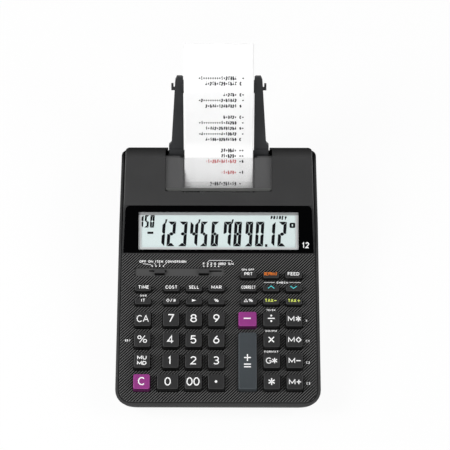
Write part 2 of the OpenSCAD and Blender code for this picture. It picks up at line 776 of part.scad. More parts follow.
module printer_frame() framed() color([0.35, 0.36, 0.37]) {
    difference() {
        union() {
            translate([-frame_in - frame_t, frame_y0, frame_z0])
                cube([2 * (frame_in + frame_t), frame_y1 - frame_y0, frame_t]);
            for (x = [-frame_in - frame_t, frame_in])
                translate([x, 0, 0])
                    rotate([90, 0, 90])
                        linear_extrude(frame_t)
                            polygon([
                                [frame_y0, frame_z0], [frame_y1, frame_z0], [frame_y1, platen[1] - 1],
                                [platen[0] + 8, frame_z1], [platen[0] - 6, frame_z1],
                                [frame_y0, platen[1] + 3]]);
            x_rod(-frame_in - 1, frame_in + 1, rod[0], rod[1], rod_r);
        }
        x_rod(-frame_in - 5, frame_in + 5, platen[0], platen[1], axle_r + run_fit);
    }
}

module platen_roller() framed() color([0.1, 0.1, 0.1]) {
    x_rod(-frame_in + 0.6, frame_in - 0.6, platen[0], platen[1], platen_r);
    x_rod(-frame_in - frame_t - 2, frame_in + frame_t + 2, platen[0], platen[1], axle_r);
}

module print_head() framed() color([0.16, 0.16, 0.17]) {
    face_y = platen[0] - wrap_r - paper_t / 2 - head_gap;
    x0 = -head_travel / 2 - head_w / 2;
    difference() {
        translate([x0, rod[0] - 3.2, rod[1] - 6])
            cube([head_w, face_y - rod[0] + 3.2, 11]);
        translate([x0 + 2, face_y - 1.6, rod[1] + 3])
            cube([head_w - 4, 3, 4]);
        x_rod(x0 - 1, x0 + head_w + 1, rod[0], rod[1], rod_r + run_fit);
    }
}

// the strip, its turn round the platen, and the web back to the roll, as one sheet
module paper_strip() framed() color([0.97, 0.97, 0.97]) {
    n = len(paper_route);
    x_prism(paper_w, concat(
        [for (i = [0:n - 1]) paper_route[i] + paper_t / 2 * route_normal(i)],
        [for (i = [n - 1:-1:0]) paper_route[i] - paper_t / 2 * route_normal(i)]));
}
function route_normal(i) = unit(90 + bearing(
    paper_route[max(0, i - 1)], paper_route[min(len(paper_route) - 1, i + 1)]));

module paper_roll() framed() color([0.96, 0.96, 0.95]) {
    difference() {
        x_rod(-paper_w / 2, paper_w / 2, roll_axis[0], roll_axis[1], roll_r);
        x_rod(-paper_w, paper_w, roll_axis[0], roll_axis[1], peg_r + run_fit);
    }
}

// two arms on one cross bar, with pivots, pegs for the roll and hooks, moulded in one
module roll_holder() framed() color([0.23, 0.24, 0.25]) {
    translate([0, pivot[0], pivot[1]])
        rotate([arm_lean, 0, 0]) {
            x_rod(-notch_w / 2 - 1.1, notch_w / 2 + 1.1, 0, 0, pivot_r);
            x_rod(-arm_foot_out, arm_foot_out, 0, 0, arm_t / 2);
            for (m = [0, 1])
                mirror([m, 0, 0]) {
                    arm();
                    x_rod(arm_in - pad_h, arm_in + 1, arm_len, 0, 4.6);
                    x_rod(arm_in - pad_h - peg_l, arm_in + 1, arm_len, 0, peg_r);
                }
        }
}
module arm() {
    tip = arm_len + 9;
    out_top = arm_in + 6.5;
    out_low = arm_in + 10.2;
    foot_top = arm_foot_l + 3;
    difference() {
        translate([0, 0, -arm_t / 2])
            linear_extrude(arm_t)
                polygon([
                    [arm_in, 0], [arm_foot_out, 0], [arm_foot_out, foot_top], [out_low, foot_top + 2.3],
                    [out_top, tip - 3], [out_top - 1.4, tip], [arm_in + 1, tip], [arm_in, tip - 1]]);
        // lightening channel along the back of the arm
        translate([0, 0, -arm_t / 2 - 1])
            linear_extrude(arm_t - 1.2)
                polygon([
                    [arm_in + 1.5, 16], [out_low - 1.7, 16],
                    [out_top - 0.6, arm_len - 8], [arm_in + 1.5, arm_len - 8]]);
    }
    // foot, thicker at the front than the arm it carries
    translate([arm_in, 0, -arm_t / 2])
        cube([arm_foot_out - arm_in, arm_foot_l, arm_t + 0.8]);
    // hook on the outside
    translate([out_top - 0.3, arm_len - hook_t - 0.8, -arm_t / 2 + 0.5])
        cube([hook_out + 0.3, hook_t, arm_t - 1]);
    translate([out_top + hook_out - hook_t, arm_len - hook_t - 0.8, -arm_t / 2 + 0.5])
        cube([hook_t, hook_l, arm_t - 1]);
}

// =========================================================== underside
module battery_door() framed() color(CASE_GREY) {
    difference() {
        union() {
            translate([-door_w / 2, door_y0 + door_t / 2, foot_h])
                cube([door_w, door_d - door_t / 2, door_t]);
            // rounded front edge, about which the door swings
            x_rod(-door_w / 2, door_w / 2, door_y0 + door_t / 2, foot_h + door_t / 2, door_t / 2);
            // latch tongue at the rear edge
            translate([-5, door_y0 + door_d - 4.4, foot_h + 1])
                cube([10, 1.6, 4.5]);
        }
        // finger grip
        for (i = [0:4])
            translate([-8, door_y0 + door_d - 14 + 1.8 * i, foot_h - 0.5])
                cube([16, 0.8, 1]);
    }
}

module rubber_feet() framed() color([0.08, 0.08, 0.08]) {
    for (x = [-foot_x, foot_x], y = foot_y)
        translate([x, y, 0]) {
            cylinder(h = 1, r1 = foot_d / 2 - 0.6, r2 = foot_d / 2);
            translate([0, 0, 1])
                cylinder(h = foot_h - 1 + 0.75, r = foot_d / 2);
        }
}

for (k = KEYS) key(k);
lower_case();
upper_case();
display_window();
lcd_module();
key_mat();
circuit_board();
print_switch_knob();
decimal_switch_knob();
printer_cover();
printer_frame();
platen_roller();
print_head();
paper_strip();
paper_roll();
roll_holder();
battery_door();
rubber_feet();
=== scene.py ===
import math

import bpy
import numpy as np
from mathutils import Matrix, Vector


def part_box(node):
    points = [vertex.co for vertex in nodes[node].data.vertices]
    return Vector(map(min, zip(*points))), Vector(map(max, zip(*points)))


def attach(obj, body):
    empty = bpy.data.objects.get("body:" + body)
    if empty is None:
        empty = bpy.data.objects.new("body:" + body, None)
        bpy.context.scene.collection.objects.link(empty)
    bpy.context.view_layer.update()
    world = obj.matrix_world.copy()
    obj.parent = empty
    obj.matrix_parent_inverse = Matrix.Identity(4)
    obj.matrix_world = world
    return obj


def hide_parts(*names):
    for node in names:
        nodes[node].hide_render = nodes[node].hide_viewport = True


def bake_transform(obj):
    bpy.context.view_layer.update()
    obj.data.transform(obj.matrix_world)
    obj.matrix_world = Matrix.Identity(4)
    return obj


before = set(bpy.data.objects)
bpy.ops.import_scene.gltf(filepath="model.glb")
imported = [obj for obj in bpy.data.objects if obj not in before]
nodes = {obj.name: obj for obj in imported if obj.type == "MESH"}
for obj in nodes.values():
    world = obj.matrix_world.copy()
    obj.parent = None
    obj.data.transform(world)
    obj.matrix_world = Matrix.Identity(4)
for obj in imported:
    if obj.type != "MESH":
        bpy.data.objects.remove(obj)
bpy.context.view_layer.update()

mm = 0.001
# y of the case's front edge in the row frame; places below are measured back from it
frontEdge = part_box("lower_case")[0].y / mm
print("frame loaded,", len(nodes), "nodes")


# quads of a grid of nu rows by nv points, optionally closed in either direction
def gridFaces(nu, nv, wrapU=False, wrapV=False):
    i = np.arange(nu if wrapU else nu - 1)
    j = np.arange(nv if wrapV else nv - 1)
    a, b = np.meshgrid(i, j, indexing="ij")
    a1, b1 = (a + 1) % nu, (b + 1) % nv
    return np.stack([a * nv + b, a1 * nv + b, a1 * nv + b1, a * nv + b1], -1).reshape(-1, 4).tolist()


# several (points, faces) pairs as one: each pair's faces count on from the points before it
def joined(parts):
    points, faces, start = [], [], 0
    for p, f in parts:
        points.append(np.asarray(p, float))
        faces += [[v + start for v in face] for face in f]
        start += len(p)
    return np.concatenate(points), faces


# a piece from (points, faces) pairs, whose points are in millimetres in the row frame; body is a body's
# name, whose empty the piece is attached to, or a fold's dict of two bodies and where the piece would start
# and end to turn, whose contents are not used: such a piece stays where it is, unattached
def putPiece(name, parts, material, body, smooth=False):
    points, faces = joined(parts)
    mesh = bpy.data.meshes.new(name)
    mesh.from_pydata((points * mm).tolist(), [], faces)
    mesh.polygons.foreach_set("use_smooth", [smooth] * len(mesh.polygons))
    mesh.materials.append(material)
    mesh.update()
    piece = bpy.data.objects.new(name, mesh)
    bpy.context.scene.collection.objects.link(piece)
    if isinstance(body, dict):
        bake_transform(piece)
    else:
        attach(piece, body)
    return piece


# a flat outline given counter-clockwise, raised into a closed plate from h0 to h1
def plate(outline, h0, h1):
    p = np.asarray(outline, float)
    n = len(p)
    points = np.concatenate([np.c_[p, np.full(n, h0)], np.c_[p, np.full(n, h1)]])
    ring = np.arange(n)
    sides = np.stack([ring, (ring + 1) % n, (ring + 1) % n + n, ring + n], -1).tolist()
    return points, [ring[::-1].tolist(), (ring + n).tolist()] + sides


# points on a circle: centre plus radius times cosine and sine of the angle
def circle(x, y, r, steps=20):
    a = np.linspace(0, 2 * np.pi, steps, endpoint=False)
    return np.c_[x + r * np.cos(a), y + r * np.sin(a)]


# ring between two outlines with equally many points, raised from h0 to h1
def ringPlate(outer, inner, h0, h1):
    n = len(outer)
    loops = [np.c_[inner, np.full(n, h0)], np.c_[outer, np.full(n, h0)],
             np.c_[outer, np.full(n, h1)], np.c_[inner, np.full(n, h1)]]
    return np.concatenate(loops), gridFaces(4, n, True, True)


# rounded rectangle about a centre, counter-clockwise: corner centre plus r times the turning unit vector
def roundRect(w, d, r, steps=6, x=0.0, y=0.0):
    a = np.linspace(0, np.pi / 2, steps)
    quarter = np.c_[np.cos(a), np.sin(a)] * r
    parts = []
    for q in range(4):
        c, s = math.cos(q * math.pi / 2), math.sin(q * math.pi / 2)
        turned = quarter @ np.array([[c, s], [-s, c]])
        corner = np.array([(w / 2 - r) * (1 if q in (0, 3) else -1), (d / 2 - r) * (1 if q < 2 else -1)])
        parts.append(turned + corner)
    return np.concatenate(parts) + np.array([x, y])


# a flat stroke: each point of a line is moved half the width to either side along the mean of
# its two neighbours' normals, longer at a bend so that the width holds
def stroke(line, width, h0, h1):
    p = np.asarray(line, float)
    p = p[np.r_[True, np.linalg.norm(np.diff(p, axis=0), axis=1) > 1e-6]]
    loop = bool(np.allclose(p[0], p[-1])) and len(p) > 3
    if loop:
        p = p[:-1]
        before, after = p - np.roll(p, 1, 0), np.roll(p, -1, 0) - p
    else:
        step = np.diff(p, axis=0)
        before, after = np.r_[step[:1], step], np.r_[step, step[-1:]]
    before = before / np.linalg.norm(before, axis=1)[:, None]
    after = after / np.linalg.norm(after, axis=1)[:, None]
    mean = before + after
    mean = mean / np.linalg.norm(mean, axis=1)[:, None]
    reach = width / 2 / np.maximum(np.sum(mean * after, 1), 0.45)
    side = np.c_[-mean[:, 1], mean[:, 0]] * reach[:, None]
    n = len(p)
    rows = [np.c_[p + side, np.full(n, h0)], np.c_[p - side, np.full(n, h0)],
            np.c_[p - side, np.full(n, h1)], np.c_[p + side, np.full(n, h1)]]
    points = np.stack(rows, 1).reshape(-1, 3)
    faces = gridFaces(n, 4, loop, True)
    if not loop:
        last = 4 * (n - 1)
        faces += [[0, 1, 2, 3], [last + 3, last + 2, last + 1, last]]
    return points, faces


# part of an ellipse inside a letter's unit box: its centre plus rx times the cosine and ry times
# the sine of an angle that goes from a0 to a1
def bend(x, y, rx, ry, a0, a1, steps=9):
    a = np.radians(np.linspace(a0, a1, steps))
    return np.c_[x + rx * np.cos(a), y + ry * np.sin(a)].tolist()


# every letter and figure as lines in a box from (0, 0) to (1, 1), and its width over its height
ring = bend(0.5, 0.5, 0.5, 0.5, 90, 450, 21)
letters = {
    "0": (0.66, [ring]), "O": (0.8, [ring]),
    "1": (0.36, [[[0.05, 0.78], [0.62, 1], [0.62, 0]]]),
    "2": (0.62, [bend(0.5, 0.72, 0.46, 0.28, 165, -25) + [[0.02, 0], [1, 0]]]),
    "3": (0.6, [bend(0.46, 0.755, 0.46, 0.245, 150, -90) + bend(0.46, 0.255, 0.5, 0.255, 90, -150)]),
    "4": (0.68, [[[1, 0.25], [0, 0.25], [0.7, 1], [0.7, 0]]]),
    "5": (0.62, [[[0.9, 1], [0.14, 1], [0.08, 0.55]] + bend(0.47, 0.32, 0.5, 0.32, 125, -150, 11)]),
    "6": (0.64, [bend(0.5, 0.32, 0.48, 0.32, 140, -220, 15)[::-1] + [[0.3, 0.72], [0.72, 1]]]),
    "7": (0.6, [[[0, 1], [1, 1], [0.32, 0]]]),
    "8": (0.64, [bend(0.5, 0.76, 0.42, 0.24, -90, 270, 15), bend(0.5, 0.26, 0.5, 0.26, 90, 450, 15)]),
    "9": (0.64, [bend(0.5, 0.68, 0.48, 0.32, -40, -400, 15)[::-1] + [[0.7, 0.28], [0.28, 0]]]),
    "A": (0.8, [[[0, 0], [0.5, 1], [1, 0]], [[0.18, 0.34], [0.82, 0.34]]]),
    "C": (0.74, [bend(0.55, 0.5, 0.53, 0.5, 45, 315, 15)]),
    "D": (0.74, [[[0, 0], [0, 1], [0.4, 1]] + bend(0.4, 0.5, 0.6, 0.5, 80, -80) + [[0.4, 0], [0, 0]]]),
    "E": (0.6, [[[1, 1], [0, 1], [0, 0], [1, 0]], [[0, 0.52], [0.85, 0.52]]]),
    "F": (0.58, [[[1, 1], [0, 1], [0, 0]], [[0, 0.5], [0.85, 0.5]]]),
    "G": (0.78, [bend(0.53, 0.5, 0.53, 0.5, 45, 330, 15) + [[1, 0.46], [0.58, 0.46]]]),
    "H": (0.72, [[[0, 0], [0, 1]], [[1, 0], [1, 1]], [[0, 0.5], [1, 0.5]]]),
    "I": (0.14, [[[0.5, 0], [0.5, 1]]]),
    "K": (0.7, [[[0, 0], [0, 1]], [[1, 1], [0.08, 0.42]], [[0.36, 0.6], [1, 0]]]),
    "L": (0.56, [[[0, 1], [0, 0], [1, 0]]]),
    "M": (0.92, [[[0, 0], [0, 1], [0.5, 0.22], [1, 1], [1, 0]]]),
    "N": (0.74, [[[0, 0], [0, 1], [1, 0], [1, 1]]]),
    "P": (0.64, [[[0, 0], [0, 1], [0.5, 1]] + bend(0.5, 0.72, 0.5, 0.28, 80, -80, 7)
                 + [[0.5, 0.44], [0.05, 0.44]]]),
    "R": (0.68, [[[0, 0], [0, 1], [0.5, 1]] + bend(0.5, 0.73, 0.46, 0.27, 80, -80, 7)
                 + [[0.5, 0.46], [0.05, 0.46]], [[0.5, 0.46], [1, 0]]]),
    "S": (0.64, [bend(0.5, 0.75, 0.44, 0.25, 35, 270) + bend(0.5, 0.25, 0.47, 0.25, 90, -145)]),
    "T": (0.68, [[[0, 1], [1, 1]], [[0.5, 1], [0.5, 0]]]),
    "U": (0.72, [[[0, 1], [0, 0.36]] + bend(0.5, 0.36, 0.5, 0.36, 190, 350) + [[1, 0.36], [1, 1]]]),
    "V": (0.76, [[[0, 1], [0.5, 0], [1, 1]]]),
    "X": (0.72, [[[0, 0], [1, 1]], [[0, 1], [1, 0]]]),
    "%": (1.0, [bend(0.2, 0.76, 0.18, 0.22, 90, 450, 11), bend(0.8, 0.24, 0.18, 0.22, 90, 450, 11),
                [[0.22, 0], [0.78, 1]]]),
    "#": (0.8, [[[0.1, 0.33], [0.95, 0.33]], [[0.1, 0.67], [0.95, 0.67]], [[0.24, 0], [0.4, 1]],
                [[0.62, 0], [0.78, 1]]]),
    "$": (0.6, [bend(0.5, 0.69, 0.44, 0.19, 35, 270, 8) + bend(0.5, 0.31, 0.47, 0.19, 90, -145, 8),
                [[0.5, 0], [0.5, 1]]]),
    "/": (0.5, [[[0, 0], [1, 1]]]), "-": (0.55, [[[0, 0.5], [1, 0.5]]]),
    "*": (0.6, [[[0.5, 0.2], [0.5, 0.8]], [[0, 0.34], [1, 0.66]], [[0, 0.66], [1, 0.34]]]),
}


# a word as strokes, fitted to a box about (x, y): the letters share the width, with a gap between them
def lettering(text, x, y, width, height, weight, h=0.0, thick=0.05, lean=0.0):
    inner = height - weight
    gap = weight * 1.6
    shares = np.array([letters[ch][0] for ch in text])
    room = width - weight - gap * (len(text) - 1)
    widths = shares / shares.sum() * room
    left = x - (width - weight) / 2
    parts = []
    for ch, w in zip(text, widths):
        for line in letters[ch][1]:
            p = np.array(line) * [w, inner] + [left, y - inner / 2]
            p[:, 0] += (p[:, 1] - y) * math.tan(math.radians(lean))
            parts.append(stroke(p, weight, h, h + thick))
        left += w + gap
    return joined(parts)


# sloped planes of the top: y and z of the line s = 0, and the slope in degrees
planes = {
    "deck": {"y": frontEdge + 2.7, "z": 19.8, "slope": 8.5},
    "display": {"y": frontEdge + 125.832, "z": 38.202, "slope": 20.0},
    "hood": {"y": frontEdge + 163.984, "z": 52.088, "slope": 4.0},
}


# cosine and sine of an angle in degrees
def turnOf(degrees):
    return math.cos(math.radians(degrees)), math.sin(math.radians(degrees))


# (x, s, h) on a sloped plane to the row frame: s runs up the slope, h out of it
def onPlane(name, part):
    p, f = part
    plane = planes[name]
    c, s = turnOf(plane["slope"])
    p = np.asarray(p, float)
    return np.c_[p[:, 0], plane["y"] + p[:, 1] * c - p[:, 2] * s, plane["z"] + p[:, 1] * s + p[:, 2] * c], f


# a material with one shader, and the Object coordinates that its patterns read
def startMaterial(name, colour, roughness, metallic=0.0, specular=0.5):
    mat = bpy.data.materials.new(name)
    mat.use_nodes = True
    tree = mat.node_tree
    tree.nodes.clear()
    shader = tree.nodes.new("ShaderNodeBsdfPrincipled")
    shader.inputs["Base Color"].default_value = (*colour, 1)
    shader.inputs["Roughness"].default_value = roughness
    shader.inputs["Metallic"].default_value = metallic
    shader.inputs["Specular IOR Level"].default_value = specular
    out = tree.nodes.new("ShaderNodeOutputMaterial")
    tree.links.new(shader.outputs["BSDF"], out.inputs["Surface"])
    where = tree.nodes.new("ShaderNodeTexCoord").outputs["Object"]
    return mat, tree, shader, where


# how fine each noise is, and its detail
noises = {"spark": (2600, 2), "drift": (35, 3), "caseDrift": (30, 3), "ripple": (25, 1), "smear": (60, 3),
          "streak": (90, 3), "mottle": (220, 4), "fibre": (1500, 3), "turns": (900, 3), "drawn": (900, 3),
          "silver": (1800, 2), "cloud": (28, 2), "glass": (1800, 1), "film": (1400, 2), "dust": (400, 4),
          "pores": (2200, 2)}


# one of those noises over the piece, with its coordinates multiplied by stretch
def noiseAt(tree, where, kind, stretch=None):
    if stretch:
        mapping = tree.nodes.new("ShaderNodeMapping")
        mapping.inputs["Scale"].default_value = stretch
        tree.links.new(where, mapping.inputs["Vector"])
        where = mapping.outputs["Vector"]
    noise = tree.nodes.new("ShaderNodeTexNoise")
    for key, value in zip(("Scale", "Detail"), noises[kind]):
        noise.inputs[key].default_value = value
    tree.links.new(where, noise.inputs["Vector"])
    return noise.outputs["Fac"]


# one sum on one or two values, each a number or the output of another node
def sumNode(tree, operation, a, b=None):
    node = tree.nodes.new("ShaderNodeMath")
    node.operation = operation
    for k, value in enumerate((a, b)):
        if isinstance(value, (int, float)):
            node.inputs[k].default_value = value
        elif value is not None:
            tree.links.new(value, node.inputs[k])
    return node.outputs[0]


# a multiplied by b
def times(tree, a, b):
    return sumNode(tree, "MULTIPLY", a, b)


# a times ca plus b times cb
def weighed(tree, a, ca, b, cb):
    return sumNode(tree, "ADD", times(tree, a, ca), times(tree, b, cb))


# sine of a length whose waves are so many millimetres long
def wave(tree, length, pitch):
    return sumNode(tree, "SINE", times(tree, length, 2 * math.pi / (pitch * mm)))


# x, y and z of a vector, as three values
def axesOf(tree, vector):
    split = tree.nodes.new("ShaderNodeSeparateXYZ")
    tree.links.new(vector, split.inputs["Vector"])
    return split.outputs


# a value carried from low and high to a and b, clamped; most of a noise lies between 0.3 and 0.7
def spread(tree, value, a, b, low=0.3, high=0.7):
    node = tree.nodes.new("ShaderNodeMapRange")
    for key, x in (("From Min", low), ("From Max", high), ("To Min", a), ("To Max", b)):
        node.inputs[key].default_value = x
    tree.links.new(value, node.inputs["Value"])
    return node.outputs["Result"]


# a before a place and b after it, with a soft step; the place and the step are in millimetres
def stepAt(tree, value, place, soft, a=0, b=1):
    return spread(tree, value, a, b, (place - soft / 2) * mm, (place + soft / 2) * mm)


# 1 inside a range of a value and 0 outside: a step up at its start times a step down at its end
def within(tree, value, low, high, soft=0.05):
    return times(tree, stepAt(tree, value, low, soft), stepAt(tree, value, high, soft, 1, 0))


# a at factor 0, b at factor 1 and their mix between; each is a colour or the output of a node
def mixColour(tree, factor, a, b):
    node = tree.nodes.new("ShaderNodeMix")
    node.data_type = "RGBA"
    tree.links.new(factor, node.inputs[0])
    for key, value in ((6, a), (7, b)):
        if isinstance(value, tuple):
            node.inputs[key].default_value = (*value, 1)
        else:
            tree.links.new(value, node.inputs[key])
    return node.outputs[2]


# each part of a colour times a share
def scaled(colour, by):
    return tuple(c * by for c in colour)


# a colour that drifts with a noise between two shares of itself
def drifting(tree, noise, colour, dark, light, low=0.3, high=0.7):
    return mixColour(tree, spread(tree, noise, 0, 1, low, high), scaled(colour, dark), scaled(colour, light))


# the finished tone to the shader and, where it varies, the roughness
def paint(tree, shader, tone, rough=None):
    tree.links.new(tone, shader.inputs["Base Color"])
    if rough is not None:
        tree.links.new(rough, shader.inputs["Roughness"])


# relief: a height of 1 stands so many millimetres out of the normal that lies under it
def bumpFrom(tree, shader, height, distance, under=None):
    bump = tree.nodes.new("ShaderNodeBump")
    bump.inputs["Distance"].default_value = distance * mm
    bump.inputs["Strength"].default_value = 1.0
    tree.links.new(height, bump.inputs["Height"])
    if under is not None:
        tree.links.new(under, bump.inputs["Normal"])
    tree.links.new(bump.outputs["Normal"], shader.inputs["Normal"])
    return bump.outputs["Normal"]


# sharp edges shade as if rounded to this radius
def roundedEdge(tree, radius):
    node = tree.nodes.new("ShaderNodeBevel")
    node.samples = 6
    node.inputs["Radius"].default_value = radius * mm
    return node.outputs["Normal"]


# x, how far a point lies up a sloped plane, and how far out of it, in metres: up is dy times the
# slope's cosine plus dz times its sine, out is dz times the cosine less dy times the sine
def overPlane(tree, where, name):
    x, y, z = axesOf(tree, where)
    plane = planes[name]
    c, s = turnOf(plane["slope"])
    dy = sumNode(tree, "SUBTRACT", y, plane["y"] * mm)
    dz = sumNode(tree, "SUBTRACT", z, plane["z"] * mm)
    return x, weighed(tree, dy, c, dz, s), weighed(tree, dz, c, dy, -s)


# how far a face is turned up, out of the deck's plane: 1 for a key's top and 0 for its sides
def turnedUp(tree):
    x, y, z = axesOf(tree, tree.nodes.new("ShaderNodeTexCoord").outputs["Normal"])
    c, s = turnOf(planes["deck"]["slope"])
    return weighed(tree, z, c, y, -s)


# how far up a face is where a side ends and where a top starts, the tone of the painted highlight on the
# rounded edges between them, and how much the roughness varies
plasticFinish = {"sideEnd": (0.35, 0.7), "topStart": (0.86, 0.985), "paintedEdgeHighlight": 1.45, "vary": 0.06}


# moulded plastic: a slow tone drift, a fine spark grain in the bump and in the roughness; sides take a share
# of the tone as painted shade, and the rounded edges between sides and top get a painted highlight a little
# brighter than the whole
def mouldedPlastic(name, colour, roughness, grain, drift=0.08, specular=0.2, edge=0.0, side=None):
    k = plasticFinish
    mat, tree, shader, where = startMaterial(name, colour, roughness, 0.0, specular)
    fine = noiseAt(tree, where, "spark")
    tone = drifting(tree, noiseAt(tree, where, "drift"), colour, 1 - drift, 1 + drift, 0.35, 0.65)
    # painted shade: faces turned away from the deck's plane darken to the side share; painted highlight: the
    # rounded edges above them are lightened
    if side:
        up = turnedUp(tree)
        paintedEdgeHighlight = scaled(colour, k["paintedEdgeHighlight"])
        low = mixColour(tree, spread(tree, up, 0, 1, *k["sideEnd"]), scaled(colour, side), paintedEdgeHighlight)
        tone = mixColour(tree, spread(tree, up, 0, 1, *k["topStart"]), low, tone)
    paint(tree, shader, tone, spread(tree, fine, roughness - k["vary"], roughness + k["vary"]))
    bumpFrom(tree, shader, fine, grain, roundedEdge(tree, edge) if edge else None)
    return mat


# the case: smooth grain everywhere, and slanting ribs on the keyboard deck, close to its plane, with a
# painted highlight on their crests and painted shade in their grooves; the switch channel's floor has a
# lighter tone and its walls are painted black as painted shade, and behind the shoulder the tail is painted
# darker towards its rear edge as painted shade
caseFinish = {"tone": (0.045, 0.045, 0.0455), "deckEnds": (0.3, 124.0), "skin": 0.35, "pitch": 1.728,
              "slant": 43.7, "cut": 0.45, "cutPitch": 0.62, "depth": 0.05, "dark": 0.0, "light": 0.137,
              "channelX": (-69.2, 5.2), "channelS": (104.9, 112.1), "floor": (-1.15, -0.92),
              "floorTone": 0.076, "walls": (-0.92, -0.03), "shoulder": 207.9, "tail": 219.5,
              "tailShade": 0.04}


def caseMaterial():
    k = caseFinish
    mat, tree, shader, where = startMaterial("caseGrey", k["tone"], 0.5, 0.0, 0.12)
    fine = noiseAt(tree, where, "spark")
    tone = drifting(tree, noiseAt(tree, where, "caseDrift"), k["tone"], 0.95, 1.05, 0.35, 0.65)
    y = axesOf(tree, where)[1]
    # painted shade: behind the shoulder the tail darkens towards its rear edge
    behind = spread(tree, y, 0, 1, (frontEdge + k["shoulder"]) * mm, (frontEdge + k["tail"]) * mm)
    tone = mixColour(tree, behind, tone, scaled(k["tone"], k["tailShade"]))
    # ribs: sine of the distance across the slant, with short cross cuts along each rib
    x, up, out = overPlane(tree, where, "deck")
    c, s = turnOf(k["slant"])
    rib = wave(tree, weighed(tree, x, s, up, -c), k["pitch"])
    cut = wave(tree, weighed(tree, x, c, up, s), k["cutPitch"] * k["pitch"])
    pattern = sumNode(tree, "ADD", rib, times(tree, cut, k["cut"]))
    # painted highlight on the rib crests and painted shade in their grooves, between the dark and light
    # tones
    crestShare = spread(tree, pattern, 0, 1, 0.05, 0.95)
    ribHighlightAndShade = mixColour(tree, crestShare, (k["dark"],) * 3, (k["light"],) * 3)
    onDeck = times(tree, within(tree, out, -k["skin"], k["skin"]), within(tree, up, *k["deckEnds"]))
    channel = times(tree, within(tree, up, *k["channelS"]), within(tree, x, *k["channelX"]))
    onFloor = times(tree, channel, within(tree, out, *k["floor"]))
    wallShade = times(tree, channel, within(tree, out, *k["walls"]))
    tone = mixColour(tree, onDeck, tone, ribHighlightAndShade)
    tone = mixColour(tree, onFloor, tone, (k["floorTone"],) * 3)
    # painted shade: the channel's walls are painted black
    tone = mixColour(tree, wallShade, tone, (0.0, 0.0, 0.0))
    paint(tree, shader, tone, spread(tree, fine, 0.44, 0.56))
    under = bumpFrom(tree, shader, fine, 0.02, roundedEdge(tree, 0.3))
    bumpFrom(tree, shader, times(tree, pattern, onDeck), k["depth"], under)
    return mat


# a slide switch's knob: the front half of its top falls away from the light
knobFinish = {"tone": (0.052, 0.052, 0.053), "front": 0.06, "edge": 107.3, "soft": 0.6}


def knobMaterial():
    k = knobFinish
    mat, tree, shader, where = startMaterial("knobGrey", k["tone"], 0.45, 0.0, 0.2)
    fine = noiseAt(tree, where, "spark")
    up = overPlane(tree, where, "deck")[1]
    lit = stepAt(tree, up, k["edge"], k["soft"], k["front"], 1)
    paint(tree, shader, mixColour(tree, lit, (0.0, 0.0, 0.0), k["tone"]), spread(tree, fine, 0.4, 0.5))
    bumpFrom(tree, shader, fine, 0.02, roundedEdge(tree, 0.4))
    return mat


# black glossy window, printed behind except over the display
windowFinish = {"tone": (0.0006, 0.0006, 0.0008), "clearX": (-66.2, 66.2), "clearS": (3.3, 34.6),
                "alpha": 0.02}


def windowMaterial():
    k = windowFinish
    mat, tree, shader, where = startMaterial("windowBlack", k["tone"], 0.08, 0.0, 0.14)
    x, up, out = overPlane(tree, where, "display")
    inside = times(tree, within(tree, x, *k["clearX"]), within(tree, up, *k["clearS"]))
    tree.links.new(spread(tree, inside, 1, k["alpha"], 0, 1), shader.inputs["Alpha"])
    smear = noiseAt(tree, where, "smear", (1, 3, 3))
    tree.links.new(spread(tree, smear, 0.05, 0.11, 0.4, 0.7), shader.inputs["Roughness"])
    bumpFrom(tree, shader, noiseAt(tree, where, "ripple"), 0.005, roundedEdge(tree, 0.25))
    return mat


# smoked clear plastic with faint drawn streaks; over the sheet it has a greyer, less clear band, and the
# barrel along its front edge hardly lets light through
coverFinish = {"tone": (0.4, 0.4, 0.405), "clear": 0.085, "vary": 0.015, "barrelEnd": 15.3, "barrel": 0.9,
               "barrelTone": (0.085, 0.087, 0.084), "bandStart": 15.8, "bandEnd": 21.3, "bandHalf": 28.7,
               "band": 0.17, "bandTone": (0.3, 0.3, 0.3)}


def coverMaterial():
    k = coverFinish
    mat, tree, shader, where = startMaterial("smokedClear", k["tone"], 0.2, 0.0, 0.2)
    streak = noiseAt(tree, where, "streak", (1, 0.06, 0.06))
    x, up, out = overPlane(tree, where, "hood")
    atBarrel = within(tree, up, 0.0, k["barrelEnd"], 0.3)
    overSheet = within(tree, x, -k["bandHalf"], k["bandHalf"], 0.2)
    atBand = times(tree, overSheet, within(tree, up, k["bandStart"], k["bandEnd"], 0.2))
    clear = spread(tree, streak, k["clear"] - k["vary"], k["clear"] + k["vary"])
    alpha = sumNode(tree, "MAXIMUM", clear, times(tree, atBarrel, k["barrel"]))
    alpha = sumNode(tree, "MAXIMUM", alpha, times(tree, atBand, k["band"]))
    tree.links.new(alpha, shader.inputs["Alpha"])
    tone = mixColour(tree, atBarrel, k["tone"], k["barrelTone"])
    tone = mixColour(tree, atBand, tone, k["bandTone"])
    paint(tree, shader, tone, spread(tree, streak, 0.14, 0.3))
    bumpFrom(tree, shader, streak, 0.02, roundedEdge(tree, 0.3))
    return mat


# paper: fibres in the bump and a very slight mottle
def paperMaterial(name, colour):
    mat, tree, shader, where = startMaterial(name, colour, 0.9, 0.0, 0.2)
    paint(tree, shader, drifting(tree, noiseAt(tree, where, "mottle"), colour, 0.985, 1, 0.35, 0.65))
    bumpFrom(tree, shader, noiseAt(tree, where, "fibre", (1, 0.35, 0.35)), 0.015)
    return mat


# end faces of the roll show its turns as fine rings about the roll's axis: a wave of the radius,
# which is the root of dy squared plus dz squared
rollFinish = {"tone": (0.88, 0.88, 0.87), "y": frontEdge + 252.663, "z": 94.102, "turn": 0.42, "dark": 0.8}


